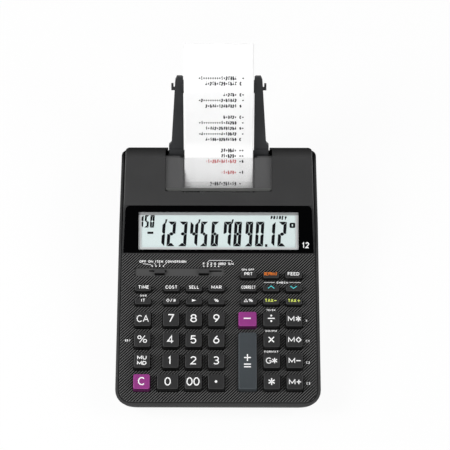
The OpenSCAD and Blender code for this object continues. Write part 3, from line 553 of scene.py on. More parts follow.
def rollMaterial():
    k = rollFinish
    mat, tree, shader, where = startMaterial("rollPaper", k["tone"], 0.9, 0.0, 0.2)
    x, y, z = axesOf(tree, where)
    dy = sumNode(tree, "SUBTRACT", y, k["y"] * mm)
    dz = sumNode(tree, "SUBTRACT", z, k["z"] * mm)
    squares = sumNode(tree, "ADD", times(tree, dy, dy), times(tree, dz, dz))
    radius = sumNode(tree, "SQRT", squares)
    turn = wave(tree, radius, k["turn"])
    paint(tree, shader, drifting(tree, turn, k["tone"], k["dark"], 1, -1, 1))
    bumpFrom(tree, shader, sumNode(tree, "ADD", turn, noiseAt(tree, where, "turns")), 0.03)
    return mat


# brushed metal: noise drawn out along x
def brushedMetal(name, colour, roughness):
    mat, tree, shader, where = startMaterial(name, colour, roughness, 1.0)
    drawn = noiseAt(tree, where, "drawn", (0.02, 1, 1))
    rough = spread(tree, drawn, roughness - 0.08, roughness + 0.1)
    paint(tree, shader, drifting(tree, drawn, colour, 0.85, 1, 0, 1), rough)
    bumpFrom(tree, shader, drawn, 0.01)
    return mat


# silver frame of the display: a painted highlight along its lower side and painted shade along its upper one
bezelFinish = {"lowEnd": 5.4, "highStart": 32.1, "soft": 0.2, "lower": (0.76, 0.78, 0.78),
               "middle": (0.74, 0.76, 0.76), "upper": (0.35, 0.36, 0.365)}


def bezelMaterial():
    k = bezelFinish
    mat, tree, shader, where = startMaterial("bezelSilver", k["middle"], 0.4, 0.25)
    fine = noiseAt(tree, where, "silver")
    up = overPlane(tree, where, "display")[1]
    # painted highlight along the lower side, then painted shade along the upper one
    tone = mixColour(tree, stepAt(tree, up, k["lowEnd"], k["soft"], 1, 0), k["middle"], k["lower"])
    tone = mixColour(tree, stepAt(tree, up, k["highStart"], k["soft"]), tone, k["upper"])
    paint(tree, shader, tone, spread(tree, fine, 0.35, 0.45))
    bumpFrom(tree, shader, fine, 0.005)
    return mat


# display glass: pale grey-green with a slow cloud
def displayMaterial(colour):
    mat, tree, shader, where = startMaterial("displayGlass", colour, 0.4, 0.0, 0.1)
    paint(tree, shader, drifting(tree, noiseAt(tree, where, "cloud"), colour, 0.98, 1.02))
    bumpFrom(tree, shader, noiseAt(tree, where, "glass"), 0.005)
    return mat


# circuit board: green lacquer over a maze of tracks, which are the borders of square cells
boardFinish = {"tone": (0.02, 0.16, 0.06), "lacquer": (0.015, 0.13, 0.05), "track": (0.04, 0.24, 0.09),
               "cells": 240, "border": (0.42, 0.5)}


def boardMaterial():
    k = boardFinish
    mat, tree, shader, where = startMaterial("boardGreen", k["tone"], 0.35)
    cells = tree.nodes.new("ShaderNodeTexVoronoi")
    cells.distance = "MANHATTAN"
    cells.inputs["Scale"].default_value = k["cells"]
    tree.links.new(where, cells.inputs["Vector"])
    track = spread(tree, cells.outputs["Distance"], 0, 1, *k["border"])
    paint(tree, shader, mixColour(tree, track, k["lacquer"], k["track"]))
    bumpFrom(tree, shader, track, 0.03)
    return mat


# ink: flat paint with a slightly uneven film
def inkMaterial(name, colour, roughness=0.55, specular=0.3):
    mat, tree, shader, where = startMaterial(name, colour, roughness, 0.0, specular)
    film = noiseAt(tree, where, "film")
    paint(tree, shader, drifting(tree, film, colour, 0.94, 1))
    bumpFrom(tree, shader, film, 0.004)
    return mat


# rubber: dull, dusty at the high spots
def rubberMaterial(name, colour):
    mat, tree, shader, where = startMaterial(name, colour, 0.8, 0.0, 0.3)
    dust = spread(tree, noiseAt(tree, where, "dust"), 0, 1, 0.45, 0.7)
    paint(tree, shader, mixColour(tree, dust, colour, tuple(c + 0.02 for c in colour)))
    bumpFrom(tree, shader, noiseAt(tree, where, "pores"), 0.04)
    return mat


materials = {
    "case": caseMaterial(),
    "window": windowMaterial(),
    "cover": coverMaterial(),
    # the keys' side shares paint their sides darker as shade, with a painted highlight on their top edges
    "key": mouldedPlastic("keyGrey", (0.03, 0.03, 0.0305), 0.42, 0.015, side=0.3),
    "keyPurple": mouldedPlastic("keyPurple", (0.27, 0.042, 0.215), 0.36, 0.015, 0.04, side=0.35),
    "keySteel": mouldedPlastic("keySteel", (0.052, 0.06, 0.066), 0.4, 0.015, 0.05, side=0.75),
    "knob": knobMaterial(),
    "arm": mouldedPlastic("armGrey", (0.028, 0.029, 0.031), 0.5, 0.02, edge=0.5),
    "head": mouldedPlastic("headBlack", (0.015, 0.015, 0.016), 0.5, 0.02, specular=0.25),
    "silver": bezelMaterial(),
    "chassis": brushedMetal("chassisSteel", (0.45, 0.45, 0.46), 0.4),
    "screw": brushedMetal("screwSteel", (0.5, 0.5, 0.51), 0.3),
    "display": displayMaterial((0.69, 0.79, 0.785)),
    "board": boardMaterial(),
    "silicone": rubberMaterial("domeSilicone", (0.55, 0.52, 0.45)),
    "rubber": rubberMaterial("footRubber", (0.018, 0.018, 0.018)),
    "platen": rubberMaterial("platenRubber", (0.02, 0.02, 0.02)),
    "paper": paperMaterial("stripPaper", (0.92, 0.92, 0.92)),
    "roll": rollMaterial(),
    "white": inkMaterial("legendWhite", (0.95, 0.95, 0.95)),
    "orange": inkMaterial("legendOrange", (0.9, 0.22, 0.02)),
    "cyan": inkMaterial("legendCyan", (0.1, 0.72, 0.76)),
    "lime": inkMaterial("legendLime", (0.78, 0.9, 0.16)),
    "segment": inkMaterial("segmentBlack", (0.006, 0.006, 0.008), 0.4, 0.1),
    "printBlack": inkMaterial("printBlack", (0.02, 0.02, 0.024), 0.8, 0.1),
    "printRed": inkMaterial("printRed", (0.6, 0.13, 0.13), 0.8, 0.1),
}
print("materials made,", len(materials))


# CAD nodes that keep their shape, and their materials
nodeMaterials = {
    "lower_case": "case", "upper_case": "case", "battery_door": "case", "display_window": "window",
    "lcd_module": "silver", "key_mat": "silicone", "circuit_board": "board", "print_switch_knob": "knob",
    "decimal_switch_knob": "knob", "printer_cover": "cover", "printer_frame": "chassis",
    "platen_roller": "platen", "print_head": "head", "paper_roll": "roll", "roll_holder": "arm",
    "rubber_feet": "rubber",
}
for name, key in nodeMaterials.items():
    nodes[name].data.materials.clear()
    nodes[name].data.materials.append(materials[key])
print("nodes finished")


# columns and rows on the deck, and the tops' sizes; the skirt stands out a little below each top
keyLook = {"w": 13.2, "d": 13.2, "lowD": 5.4, "pitch": 17.3, "lowPitch": 11.2, "firstRow": 15.35,
           "lowRow": 82.2, "columns": (-61.3, -38.25, -19.85, -1.45, 24.7, 43.1, 61.5), "top": 4.0,
           "round": 0.75, "corner": 1.6, "cornerSteps": 7, "side": 0.3, "front": 0.3, "rear": 0.2,
           "skirtStart": -3.05, "skirtEnd": 0.2, "dish": 0.1, "slant": 1.1}


# rings of a rounded rectangle: up the skirt, whose front slants back, round the top edge on a
# quarter circle, and down into the dish as the square of the share of the way to the middle
def keyCap(x, s, w, d):
    k = keyLook
    n = k["cornerSteps"]
    offS = (k["rear"] - k["front"]) / 2
    slant = k["slant"] if d > k["lowD"] else k["slant"] / 2

    def ringAt(grow, h, shift=slant / 2, extraD=-slant):
        r = max(0.15, k["corner"] + grow)
        depth = d + 2 * grow + extraD
        p = roundRect(w + 2 * grow, depth, min(r, depth / 2 - 0.01), n, x, s + shift)
        return np.c_[p, np.full(len(p), h)]

    extra = (k["front"] + k["rear"]) - 2 * k["side"]
    rings = [ringAt(k["side"], h, offS, extra) for h in (k["skirtStart"], k["skirtEnd"])]
    rings.append(ringAt(0.0, k["top"] - k["round"]))
    for a in np.radians([15, 30, 45, 60, 75, 90]):
        rings.append(ringAt(-k["round"] * (1 - math.cos(a)), k["top"] - k["round"] * (1 - math.sin(a))))
    reach = (min(w, d) - slant) / 2 - k["round"]
    for share in (0.3, 0.6, 0.85):
        rings.append(ringAt(-k["round"] - reach * share, k["top"] - k["dish"] * (1 - (1 - share) ** 2)))
    points = np.concatenate(rings)
    m = 4 * n
    total = len(points)
    sides = [f[::-1] for f in gridFaces(len(rings), m, False, True)]
    return points, sides + [list(range(m))[::-1], list(range(total - m, total))]


# the keys of each row from the left column to the right, from the front row back
tallKeys = [["clear", "0", "00", "point", None, "total", "memory_plus"],
            ["mark_up", "1", "2", "3", None, "grand_total", "memory_minus"],
            ["percent", "4", "5", "6", "plus_equals", "times", "memory_subtotal"],
            ["clear_all", "7", "8", "9", "minus", "divide", "memory_total"]]
lowKeys = [["item_count", "subtotal", "shift", "percent_ratio", "delta_percent", "tax_minus", "tax_plus"],
           ["time", "cost", "sell", "margin", "correct", "check_up", "check_down"],
           [None, None, None, None, "print", "reprint", "feed"]]
# keys that are moved or grown, by x, s, width and depth
changedKeys = {"0": (-2.1, 0, 3.9, 0), "00": (0, 0, 0.4, 0), "minus": (-1, 0, 1.5, 0),
               "plus_equals": (-1, -keyLook["pitch"], 1.5, 2 * keyLook["pitch"]), "feed": (0, 0, 0.6, 0)}


# x, s, width and depth of each key top: s is the first row's plus the row's number times the pitch
def placeKeys(rows, first, pitch, depth):
    places = {}
    for r, row in enumerate(rows):
        for x, name in zip(keyLook["columns"], row):
            if name:
                place = (x, first + r * pitch, keyLook["w"], depth)
                places[name] = [a + b for a, b in zip(place, changedKeys.get(name, (0, 0, 0, 0)))]
    return places


keyPlaces = placeKeys(tallKeys, keyLook["firstRow"], keyLook["pitch"], keyLook["d"])
keyPlaces.update(placeKeys(lowKeys, keyLook["lowRow"], keyLook["lowPitch"], keyLook["lowD"]))
keyFinish = {"clear": ("keyPurple", "key_purple"), "minus": ("keyPurple", "key_purple"),
             "plus_equals": ("keySteel", "key_steel")}
for name, place in keyPlaces.items():
    finish, slot = keyFinish.get(name, ("key", "key"))
    parts = [onPlane("deck", keyCap(*place))]
    cap = putPiece("cap_" + name, parts, materials[finish], "key_" + name, True)
    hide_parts("key_" + name)
print("key caps made,", len(keyPlaces))


# legends on the keys: widths of a word's lines by its height and length, how high over the deck the
# ink starts, and how thick it is
legendLook = {"big": 0.92, "middle": 0.68, "small": 0.52, "long": 0.43, "h": 3.92, "thick": 0.09}


# a line through the points as a stroke of ink
def lines(points, width):
    return [stroke(points, width, legendLook["h"], legendLook["h"] + legendLook["thick"])]


# a straight line with (x, y) in its middle: from half the run and rise before it to as far after
def dash(x, y, run, width, rise=0.0):
    return lines([(x - run / 2, y - rise / 2), (x + run / 2, y + rise / 2)], width)


# a word whose lines are heavier the higher it is, and light when it is long
def word(text, x, y, width, height):
    kind = "big" if height > 6.5 else "middle" if height > 3 else "long" if len(text) > 5 else "small"
    return [lettering(text, x, y, width, height, legendLook[kind], legendLook["h"], legendLook["thick"])]


# three lines through (x, y), each as long as twice r, at 90, 30 and 150 degrees
def star(x, y, r, width):
    parts = []
    for a in np.radians([90, 30, 150]):
        parts += dash(x, y, 2 * r * math.cos(a), width, 2 * r * math.sin(a))
    return parts


# a closed line through the four points that lie r from (x, y)
def diamond(x, y, r, width):
    return lines([(x + r, y), (x, y + r), (x - r, y), (x, y - r), (x + r, y)], width)


# an outline filled with ink
def spot(outline):
    return [plate(outline, legendLook["h"], legendLook["h"] + legendLook["thick"])]


# a triangle that points right
def arrow(x, y, w, d):
    return spot([(x - w / 2, y - d / 2), (x + w / 2, y), (x - w / 2, y + d / 2)])


legends = {
    "clear": word("C", -61.3, 16.2, 5.8, 6.6),
    "0": word("0", -40.3, 16.0, 5.2, 6.8),
    "00": word("00", -20.0, 16.0, 10.6, 6.8),
    "point": spot(circle(-1.6, 16.0, 1.05)),
    "total": star(42.9, 16.0, 2.8, 0.95),
    "memory_plus": word("M", 59.3, 15.8, 5.2, 4.4) + dash(64.65, 15.8, 3.5, 0.9)
    + dash(64.65, 15.8, 0, 0.9, 3.5),
    "mark_up": word("MU", -61.3, 35.5, 7.6, 3.2) + word("MD", -61.3, 31.1, 7.6, 3.2),
    "1": word("1", -38.9, 33.3, 2.7, 6.8),
    "2": word("2", -19.9, 33.3, 5.2, 6.8),
    "3": word("3", -1.5, 33.3, 5.0, 6.8),
    "grand_total": word("G", 40.7, 33.2, 4.6, 5.0) + star(45.4, 33.2, 2.2, 0.85),
    "memory_minus": word("M", 59.3, 33.2, 5.2, 4.4) + dash(64.65, 33.2, 3.5, 0.9),
    "percent": word("%", -61.3, 50.8, 8.2, 6.4),
    "4": word("4", -38.5, 50.6, 5.4, 6.8),
    "5": word("5", -20.0, 50.6, 5.0, 6.8),
    "6": word("6", -1.5, 50.6, 5.2, 6.8),
    "plus_equals": dash(23.6, 35.7, 5.6, 0.95) + dash(23.6, 35.7, 0, 0.95, 5.6)
    + dash(23.6, 30.3, 5.6, 0.95) + dash(23.6, 28.1, 5.6, 0.95),
    "times": dash(42.9, 50.6, 4.4, 0.95, 4.4) + dash(42.9, 50.6, 4.4, 0.95, -4.4),
    "memory_subtotal": word("M", 59.1, 50.5, 5.2, 4.4) + diamond(64.9, 50.5, 2.0, 0.75),
    "clear_all": word("CA", -61.2, 67.9, 10.0, 5.8),
    "7": word("7", -38.4, 68.3, 5.2, 6.8),
    "8": word("8", -20.0, 68.3, 5.4, 6.8),
    "9": word("9", -1.5, 68.3, 5.2, 6.8),
    "minus": dash(23.5, 68.3, 5.8, 1.0),
    "divide": dash(43.0, 68.3, 5.6, 0.9) + spot(circle(43.0, 70.6, 0.8)) + spot(circle(43.0, 66.0, 0.8)),
    "memory_total": word("M", 59.1, 68.0, 5.2, 4.4) + star(64.9, 68.0, 2.2, 0.85),
    "item_count": word("IT", -61.2, 83.3, 3.4, 2.7),
    "subtotal": diamond(-41.0, 83.3, 1.2, 0.45) + dash(-38.3, 83.3, 1.4, 0.45, 2.8)
    + word("#", -35.6, 83.3, 2.7, 2.7),
    "shift": arrow(-19.75, 83.3, 3.5, 2.2),
    "percent_ratio": word("%", -1.5, 83.3, 3.7, 2.7),
    "delta_percent": lines([(21.1, 82.2), (23.8, 82.2), (22.45, 84.5), (21.1, 82.2)], 0.42)
    + word("%", 26.4, 83.4, 3.7, 2.7),
    "tax_minus": word("TAX", 41.4, 83.3, 6.9, 2.7) + dash(46.45, 83.2, 1.9, 0.5),
    "tax_plus": word("TAX", 60.1, 83.3, 6.9, 2.7) + dash(65.45, 83.2, 2.1, 0.5)
    + dash(65.45, 83.2, 0, 0.5, 2.1),
    "time": word("TIME", -61.0, 94.5, 8.6, 2.8),
    "cost": word("COST", -38.3, 94.5, 9.8, 2.8),
    "sell": word("SELL", -19.9, 94.5, 8.4, 2.8),
    "margin": word("MAR", -1.5, 94.5, 8.5, 2.8),
    "correct": word("CORRECT", 24.6, 94.5, 11.6, 2.8),
    "check_up": lines([(40.5, 93.5), (43.1, 95.6), (45.7, 93.5)], 0.55),
    "check_down": lines([(58.8, 95.6), (61.4, 93.5), (64.0, 95.6)], 0.55),
    "print": word("PRT", 24.6, 105.9, 6.9, 2.8),
    "reprint": word("REPRINT", 42.9, 105.9, 10.8, 2.7),
    "feed": word("FEED", 61.5, 106.0, 9.6, 2.8),
}
legendInks = {"reprint": "orange", "check_up": "cyan", "check_down": "cyan", "tax_minus": "lime",
              "tax_plus": "lime"}
for name, parts in legends.items():
    ink = materials[legendInks.get(name, "white")]
    putPiece("legend_" + name, [onPlane("deck", part) for part in parts], ink, "key_" + name)
print("key legends placed,", len(legends))


# printing on the deck: widths of its lines and letters, heights of words, and the switch marks' dots
deckInk = {"line": 0.36, "letter": 0.46, "thick": 0.03, "height": 1.7, "switchHeight": 2.1, "dot": 0.55,
           "dotS": 113.6}


# a word, a line through points and a dot, all laid on the deck
def deckWord(text, x, s, width, height=deckInk["height"]):
    return onPlane("deck", lettering(text, x, s, width, height, deckInk["letter"], 0.0, deckInk["thick"]))


def deckLine(points):
    return onPlane("deck", stroke(points, deckInk["line"], 0.0, deckInk["thick"]))


def deckDot(x):
    return onPlane("deck", plate(circle(x, deckInk["dotS"], deckInk["dot"], 12), 0.0, deckInk["thick"]))


# words over and beside the keys: x, s, width and, for a few, height
deckWords = [("AVG", -61.3, 88.4, 5.4), ("ON", 21.2, 110.7, 4.2), ("OFF", 27.0, 110.7, 4.9),
             ("CHECK", 52.4, 99.6, 9.6), ("12/24", 43.0, 76.3, 7.4), ("AM/PM", 42.8, 58.7, 9.6),
             ("FORMAT", 43.0, 41.5, 11.4), ("SET", -73.3, 50.6, 4.8), ("$", 71.7, 67.5, 1.6, 2.2),
             ("C1", 72.4, 50.4, 3.2, 2.0), ("C2", 72.4, 32.6, 3.2, 2.0), ("C3", 72.4, 15.5, 3.2, 2.0)]
deckLines = [[(37.4, 99.7), (46.1, 99.7)], [(58.3, 99.7), (67.5, 99.7)]]
deckPrint = [deckWord(*entry) for entry in deckWords] + [deckLine(points) for points in deckLines]
# each slide switch: a dot at each of its steps, the words over them and the lines between the two
switchMarks = [
    {"dots": (-54.4, -51.35, -48.3, -45.25), "s": 117.5,
     "words": [("OFF", -62.2, 5.6), ("ON", -55.8, 4.0), ("ITEM", -48.8, 6.4), ("CONVERSION", -35.1, 17.2)],
     "lines": [[(-62.3, 115.6), (-57.0, 115.1), (-54.6, 114.2)], [(-52.6, 116.0), (-51.4, 114.4)],
               [(-48.5, 116.0), (-48.3, 114.4)], [(-42.8, 116.0), (-45.0, 114.4)]]},
    {"dots": (-12.0, -8.95, -5.9, -2.85, 0.2), "s": 115.7,
     "words": [("F", -12.0, 1.7), ("3", -8.95, 1.7), ("2", -5.9, 1.7), ("0", -2.85, 1.7),
               ("ADD2", 2.9, 6.2), ("5/4", 10.4, 4.6)],
     "lines": [[(-8.7, 117.4), (-7.4, 118.6), (10.0, 118.6), (11.6, 117.4)]]},
]
for marks in switchMarks:
    deckPrint += [deckDot(x) for x in marks["dots"]]
    for text, x, width in marks["words"]:
        deckPrint.append(deckWord(text, x, marks["s"], width, deckInk["switchHeight"]))
    deckPrint += [deckLine(points) for points in marks["lines"]]
putPiece("deckPrinting", deckPrint, materials["white"], "base")
print("deck printed")


# the display: its glass, and the height, lean, stroke and slits of the big figures and of the small
# counter's; segmentsOf says which of the seven segments a figure shows
displayLook = {"glass": (127.2, 27.3, 18.35), "glassH": -1.70, "glassThick": 0.055, "lift": 0.005,
               "ink": 0.03, "lean": 3.5}
bigFigures = {"s0": 6.2, "s1": 26.7, "stroke": 2.55, "slit": 0.15}
smallFigures = {"s0": 21.7, "s1": 32.0, "stroke": 1.6, "slit": 0.1, "width": 4.1}
segmentsOf = {"0": "abcdef", "1": "bc", "2": "abdeg", "3": "abcdg", "4": "bcfg", "5": "acdfg", "6": "acdefg",
              "7": "abcf", "8": "abcdefg", "9": "abcdfg"}


# x0 and x1 are the outermost points of the slanted digit; each segment is a bar cut at 45 degrees
# towards its neighbours
def digit(ch, x0, x1, look, h0, h1):
    s0, t, g = look["s0"], look["stroke"], look["slit"]
    d = look["s1"] - s0
    slant = math.tan(math.radians(displayLook["lean"]))
    m = d / 2
    w = x1 - x0 - d * slant if ch != "1" else 4 * t
    shapes = {
        "a": [(g, d), (t + g, d - t), (w - t - g, d - t), (w - g, d)],
        "d": [(g, 0), (w - g, 0), (w - t - g, t), (t + g, t)],
        "g": [(t / 2 + g, m), (t + g * 0.6, m - t / 2), (w - t - g * 0.6, m - t / 2), (w - t / 2 - g, m),
              (w - t - g * 0.6, m + t / 2), (t + g * 0.6, m + t / 2)],
        "f": [(0, d - g), (0, m + g * 1.6), (t / 2, m + g), (t, m + t / 2 + g), (t, d - t - g)],
        "e": [(0, g), (t, t + g), (t, m - t / 2 - g), (t / 2, m - g), (0, m - g * 1.6)],
        "b": [(w, d - g), (w - t, d - t - g), (w - t, m + t / 2 + g), (w - t / 2, m + g), (w, m + g * 1.6)],
        "c": [(w, g), (w, m - g * 1.6), (w - t / 2, m - g), (w - t, m - t / 2 - g), (w - t, t + g)],
    }
    parts = []
    for key in segmentsOf[ch]:
        p = np.array(shapes[key], float)
        if np.sum(p[:, 0] * np.roll(p[:, 1], -1) - np.roll(p[:, 0], -1) * p[:, 1]) < 0:
            p = p[::-1]
        p[:, 0] += x1 - w - d * slant + p[:, 1] * slant
        p[:, 1] += s0
        parts.append(plate(p, h0, h1))
    return parts


h0 = displayLook["glassH"] + displayLook["lift"]
h1 = h0 + displayLook["ink"]
figures = [("1", -47.37, -43.64), ("2", -42.99, -35.06), ("3", -33.49, -25.57), ("4", -24.23, -16.5),
           ("5", -15.55, -8.5), ("6", -6.62, 0.58), ("7", 3.46, 11.06), ("8", 12.06, 19.47),
           ("9", 21.56, 28.71), ("0", 29.99, 37.95), ("1", 44.62, 47.27), ("2", 48.59, 56.51)]
shown = []
for ch, x0, x1 in figures:
    shown += digit(ch, x0, x1, bigFigures, h0, h1)
# point and thousands marks
shown.append(plate(roundRect(1.9, 2.2, 0.25, 4, 39.4, 6.9), h0, h1))
for x in (-43.5, -16.0, 11.5):
    shown.append(plate([(x - 0.8, 25.2), (x + 0.2, 25.2), (x + 1.2, 28.6), (x - 0.4, 28.6)], h0, h1))
# small counter, its sign, the words and the square mark
for ch, x1 in (("1", -61.9), ("5", -57.4), ("0", -52.8)):
    shown += digit(ch, x1 - smallFigures["width"], x1, smallFigures, h0, h1)
shown.append(plate(roundRect(4.9, 1.9, 0.2, 3, -56.35, 17.3), h0, h1))
for text, x, width in (("PRT", 46.2, 6.2), ("REV", 53.2, 6.4)):
    shown.append(lettering(text, x, 30.05, width, 3.2, 1.0, h0, displayLook["ink"], 10))
squareMark = [roundRect(4.7, 4.3, 1.0, 5, 61.1, 23.75), roundRect(1.1, 1.8, 0.3, 5, 61.1, 23.75)]
shown.append(ringPlate(*squareMark, h0, h1))
putPiece("displayFigures", [onPlane("display", part) for part in shown], materials["segment"], "base")
windowFigures = lettering("12", 71.9, 7.1, 5.9, 4.9, 0.8, 0.0, 0.03)
putPiece("windowFigures", [onPlane("display", windowFigures)], materials["white"], "base")
glassW, glassD, glassS = displayLook["glass"]
glassTop = displayLook["glassH"]
panel = plate(roundRect(glassW, glassD, 0.4, 4, 0.0, glassS), glassTop - displayLook["glassThick"], glassTop)
putPiece("displayGlass", [onPlane("display", panel)], materials["display"], "base")


# rounded frame: a half-round profile carried round the display's edge; across the band its height
# is the rise times the sine of an angle that goes from 0 to 180 degrees
bezelLook = {"w": 131.8, "d": 30.7, "s": 18.75, "band": 1.9, "rise": 0.18, "h": -1.45, "corner": 1.2,
             "cornerSteps": 5, "rings": 9}


def frameRing():
    k = bezelLook
    n = k["cornerSteps"]
    a = np.linspace(0, math.pi, k["rings"])
    loops = []
    for t, h in zip(0.5 - 0.5 * np.cos(a), np.sin(a) * k["rise"]):
        inset = k["band"] * t
        corner = max(0.3, k["corner"] - inset)
        outline = roundRect(k["w"] - 2 * inset, k["d"] - 2 * inset, corner, n, 0.0, k["s"])
        loops.append(np.c_[outline, np.full(4 * n, k["h"] + h)])
    return np.concatenate(loops), [f[::-1] for f in gridFaces(len(a), 4 * n, False, True)]


putPiece("displayBezel", [onPlane("display", frameRing())], materials["silver"], "base", True)
print("display made")


# the path in y and z: web from the roll, round the platen, out, up, over the roll, to the torn end
stripLook = {"width": 57.5, "thick": 0.14, "platen": (frontEdge + 189.377, 38.9576), "wrapR": 6.7,
             "roll": (frontEdge + 252.663, 94.1023), "coilR": 13.2, "webSlope": 36.626, "exitSlope": 20.0,
             "run": 23.2, "kneeR": 20.0, "riseSlope": 62.12, "curlR": 30.0, "endSlope": 22.0,
             "curlStart": (frontEdge + 239.935, 100.836), "tail": 22.2, "columns": 47, "tooth": 0.45}
# points along each stretch of the path
pathPoints = {"web": 34, "wrap": 40, "run": 12, "knee": 16, "rise": 26, "curl": 22, "tail": 14}


# the vector one long in a direction: cosine and sine of its angle
def unit(degrees):
    a = np.radians(degrees)
    return np.stack([np.cos(a), np.sin(a)], -1)


# an arc's points: centre plus radius times the turning unit vector
def arc(centre, radius, start, end, stretch):
    return centre + radius * unit(np.linspace(start, end, pathPoints[stretch]))


# a straight stretch's points: its start plus shares of the way to its end
def straight(start, end, stretch):
    return start + (end - start) * np.linspace(0, 1, pathPoints[stretch])[:, None]


# arcs and the straight stretches between them, each of which touches its arcs in a smooth line
def stripPath():
    k = stripLook
    webStart = np.array(k["roll"]) + k["coilR"] * unit(k["webSlope"] - 90)
    wrap = arc(np.array(k["platen"]), k["wrapR"], k["webSlope"] - 90, k["exitSlope"] - 270, "wrap")
    kneeStart = wrap[-1] + unit(k["exitSlope"]) * k["run"]
    kneeCentre = kneeStart + k["kneeR"] * unit(k["exitSlope"] + 90)
    knee = arc(kneeCentre, k["kneeR"], k["exitSlope"] - 90, k["riseSlope"] - 90, "knee")
    curlStart = np.array(k["curlStart"])
    curlCentre = curlStart + k["curlR"] * unit(k["riseSlope"] - 90)
    curl = arc(curlCentre, k["curlR"], k["riseSlope"] + 90, k["endSlope"] + 90, "curl")
    tornEnd = curl[-1] + unit(k["endSlope"]) * k["tail"]
    web, run = straight(webStart, wrap[0], "web"), straight(wrap[-1], kneeStart, "run")
    rise, tail = straight(knee[-1], curlStart, "rise"), straight(curl[-1], tornEnd, "tail")
    return np.concatenate([web[:-1], wrap, run[1:-1], knee, rise[1:-1], curl, tail[1:]])


path = stripPath()
steps = np.r_[0, np.cumsum(np.linalg.norm(np.diff(path, axis=0), axis=1))]
heading = np.gradient(path, axis=0)
heading /= np.linalg.norm(heading, axis=1)[:, None]
outward = np.c_[-heading[:, 1], heading[:, 0]]
stripLength = steps[-1]


# (x, distance back from the torn end, height over the sheet) to the row frame: the path's point at
# that distance plus the height along its outward vector
def onStrip(part):
    p, f = part
    p = np.asarray(p, float)
    at = stripLength - p[:, 1]
    y = np.interp(at, steps, path[:, 0]) + p[:, 2] * np.interp(at, steps, outward[:, 0])
    z = np.interp(at, steps, path[:, 1]) + p[:, 2] * np.interp(at, steps, outward[:, 1])
    return np.c_[p[:, 0], y, z], f


# both faces of the sheet as one closed tube of points, torn with small teeth at the end
def stripSheet():
    k = stripLook
    c = k["columns"]
    n = len(path)
    halves = []
    for side in (1, -1):
        yz = path + side * outward * k["thick"] / 2
        grid = np.zeros((n, c, 3))
        grid[:, :, 0] = np.linspace(-k["width"] / 2, k["width"] / 2, c)
        grid[:, :, 1:] = yz[:, None, :]
        tooth = np.where(np.arange(c) % 2 == 0, 0.0, k["tooth"])
        grid[-1, :, 1:] += tooth[:, None] * heading[-1]
        halves.append(grid)
    loops = np.concatenate([halves[0], halves[1][:, ::-1]], axis=1)
    faces = gridFaces(n, 2 * c, False, True)
    first = [[a, a + 1, 2 * c - 2 - a, 2 * c - 1 - a] for a in range(c - 1)]
    start = (n - 1) * 2 * c
    last = [[start + v for v in face[::-1]] for face in first]
    return loops.reshape(-1, 3), [f[::-1] for f in faces] + first + last


# the strip's fold behind the case's rear edge: two bodies and where the strip would start and end to turn
# with the arms; the pieces given it stay where they are
stripFold = {"a": "base", "b": "roll_holder", "start": (0, (frontEdge + 212) * mm, 54 * mm),
             "end": (0, (frontEdge + 240) * mm, 84 * mm)}
strip = putPiece("paperStripSheet", [stripSheet()], materials["paper"], stripFold, True)
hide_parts("paper_strip")

# printed lines: distance back from the torn end, figures, two cells of signs, and the ink, which is 0
# for black and 1 for red; a colon stands for a dot at half height
printLook = {"right": 14.75, "pitch": 1.85, "height": 3.2, "weight": 1.02, "dot": (0.95, 1.45),
             "signs": (17.9, 19.95), "lift": 0.075, "thick": 0.02}
printed = [
    (28.55, "*1::::::::1:27354", " *", 0), (32.98, "4:215:723:1547", "C ", 0), (42.67, "4:275:", "C*", 0),
    (47.99, "*2::::::::2:51342", " *", 0), (53.44, "2:574:12457321", "$ ", 0), (64.13, "5:372:", "C*", 0),
    (69.56, "*1::::::::1:74253", " *", 0), (74.92, "1:742:25731254", "$*", 0),
    (80.4, "*4::::::::4:13572", " *", 0), (85.81, "4:135:32574153", "C ", 0), (95.78, "27:354:", "**", 0),
    (100.41, "71:523:", "**", 0), (105.0, "-1:257:341:572", "*$", 1), (114.43, "-1:573:", "*T", 1),
    (123.9, "2:057:251:13", "* ", 0),
]


# one printed figure or sign; a 1 is narrower, and a star and a dash are lower and heavier
def printedCell(ch, x, back):
    look = printLook
    width = look["pitch"] * (0.75 if ch == "1" else 0.92)
    height = look["height"] * (0.7 if ch in "*-" else 1)
    weight = look["weight"] * (1.3 if ch in "*-" else 1)
    if ch == ":":
        p, f = plate(roundRect(*look["dot"], 0.25, 3, x, -back), look["lift"], look["lift"] + look["thick"])
    else:
        p, f = lettering(ch, x, -back, width, height, weight, look["lift"], look["thick"])
    return onStrip((p * np.array([1, -1, 1]), [g[::-1] for g in f]))


inkParts = [[], []]
for back, text, signs, ink in printed:
    for i, ch in enumerate(reversed(text)):
        inkParts[ink].append(printedCell(ch, printLook["right"] - printLook["pitch"] * (i + 0.5), back))
    for ch, x in zip(signs, printLook["signs"]):
        if ch != " ":
            inkParts[0].append(printedCell(ch, x, back))
putPiece("stripPrintBlack", inkParts[0], materials["printBlack"], stripFold)
putPiece("stripPrintRed", inkParts[1], materials["printRed"], stripFold)
print("paper strip made,", round(stripLength, 1), "mm")


# case screws in the bottom: places, height of the head's crown, radius, points round the rim, and
# the head's profile as shares of the radius against heights over the crown
screwLook = {"x": 72.4, "y": (frontEdge + 43.546, frontEdge + 186.465), "z": 6.6, "r": 2.9, "points": 40,
             "profile": ((1.0, 1.6), (1.0, 0.9), (0.9, 0.35), (0.7, 0.08), (0.5, 0.0), (0.42, 0.0)),
             "recess": (0.05, 1.1)}


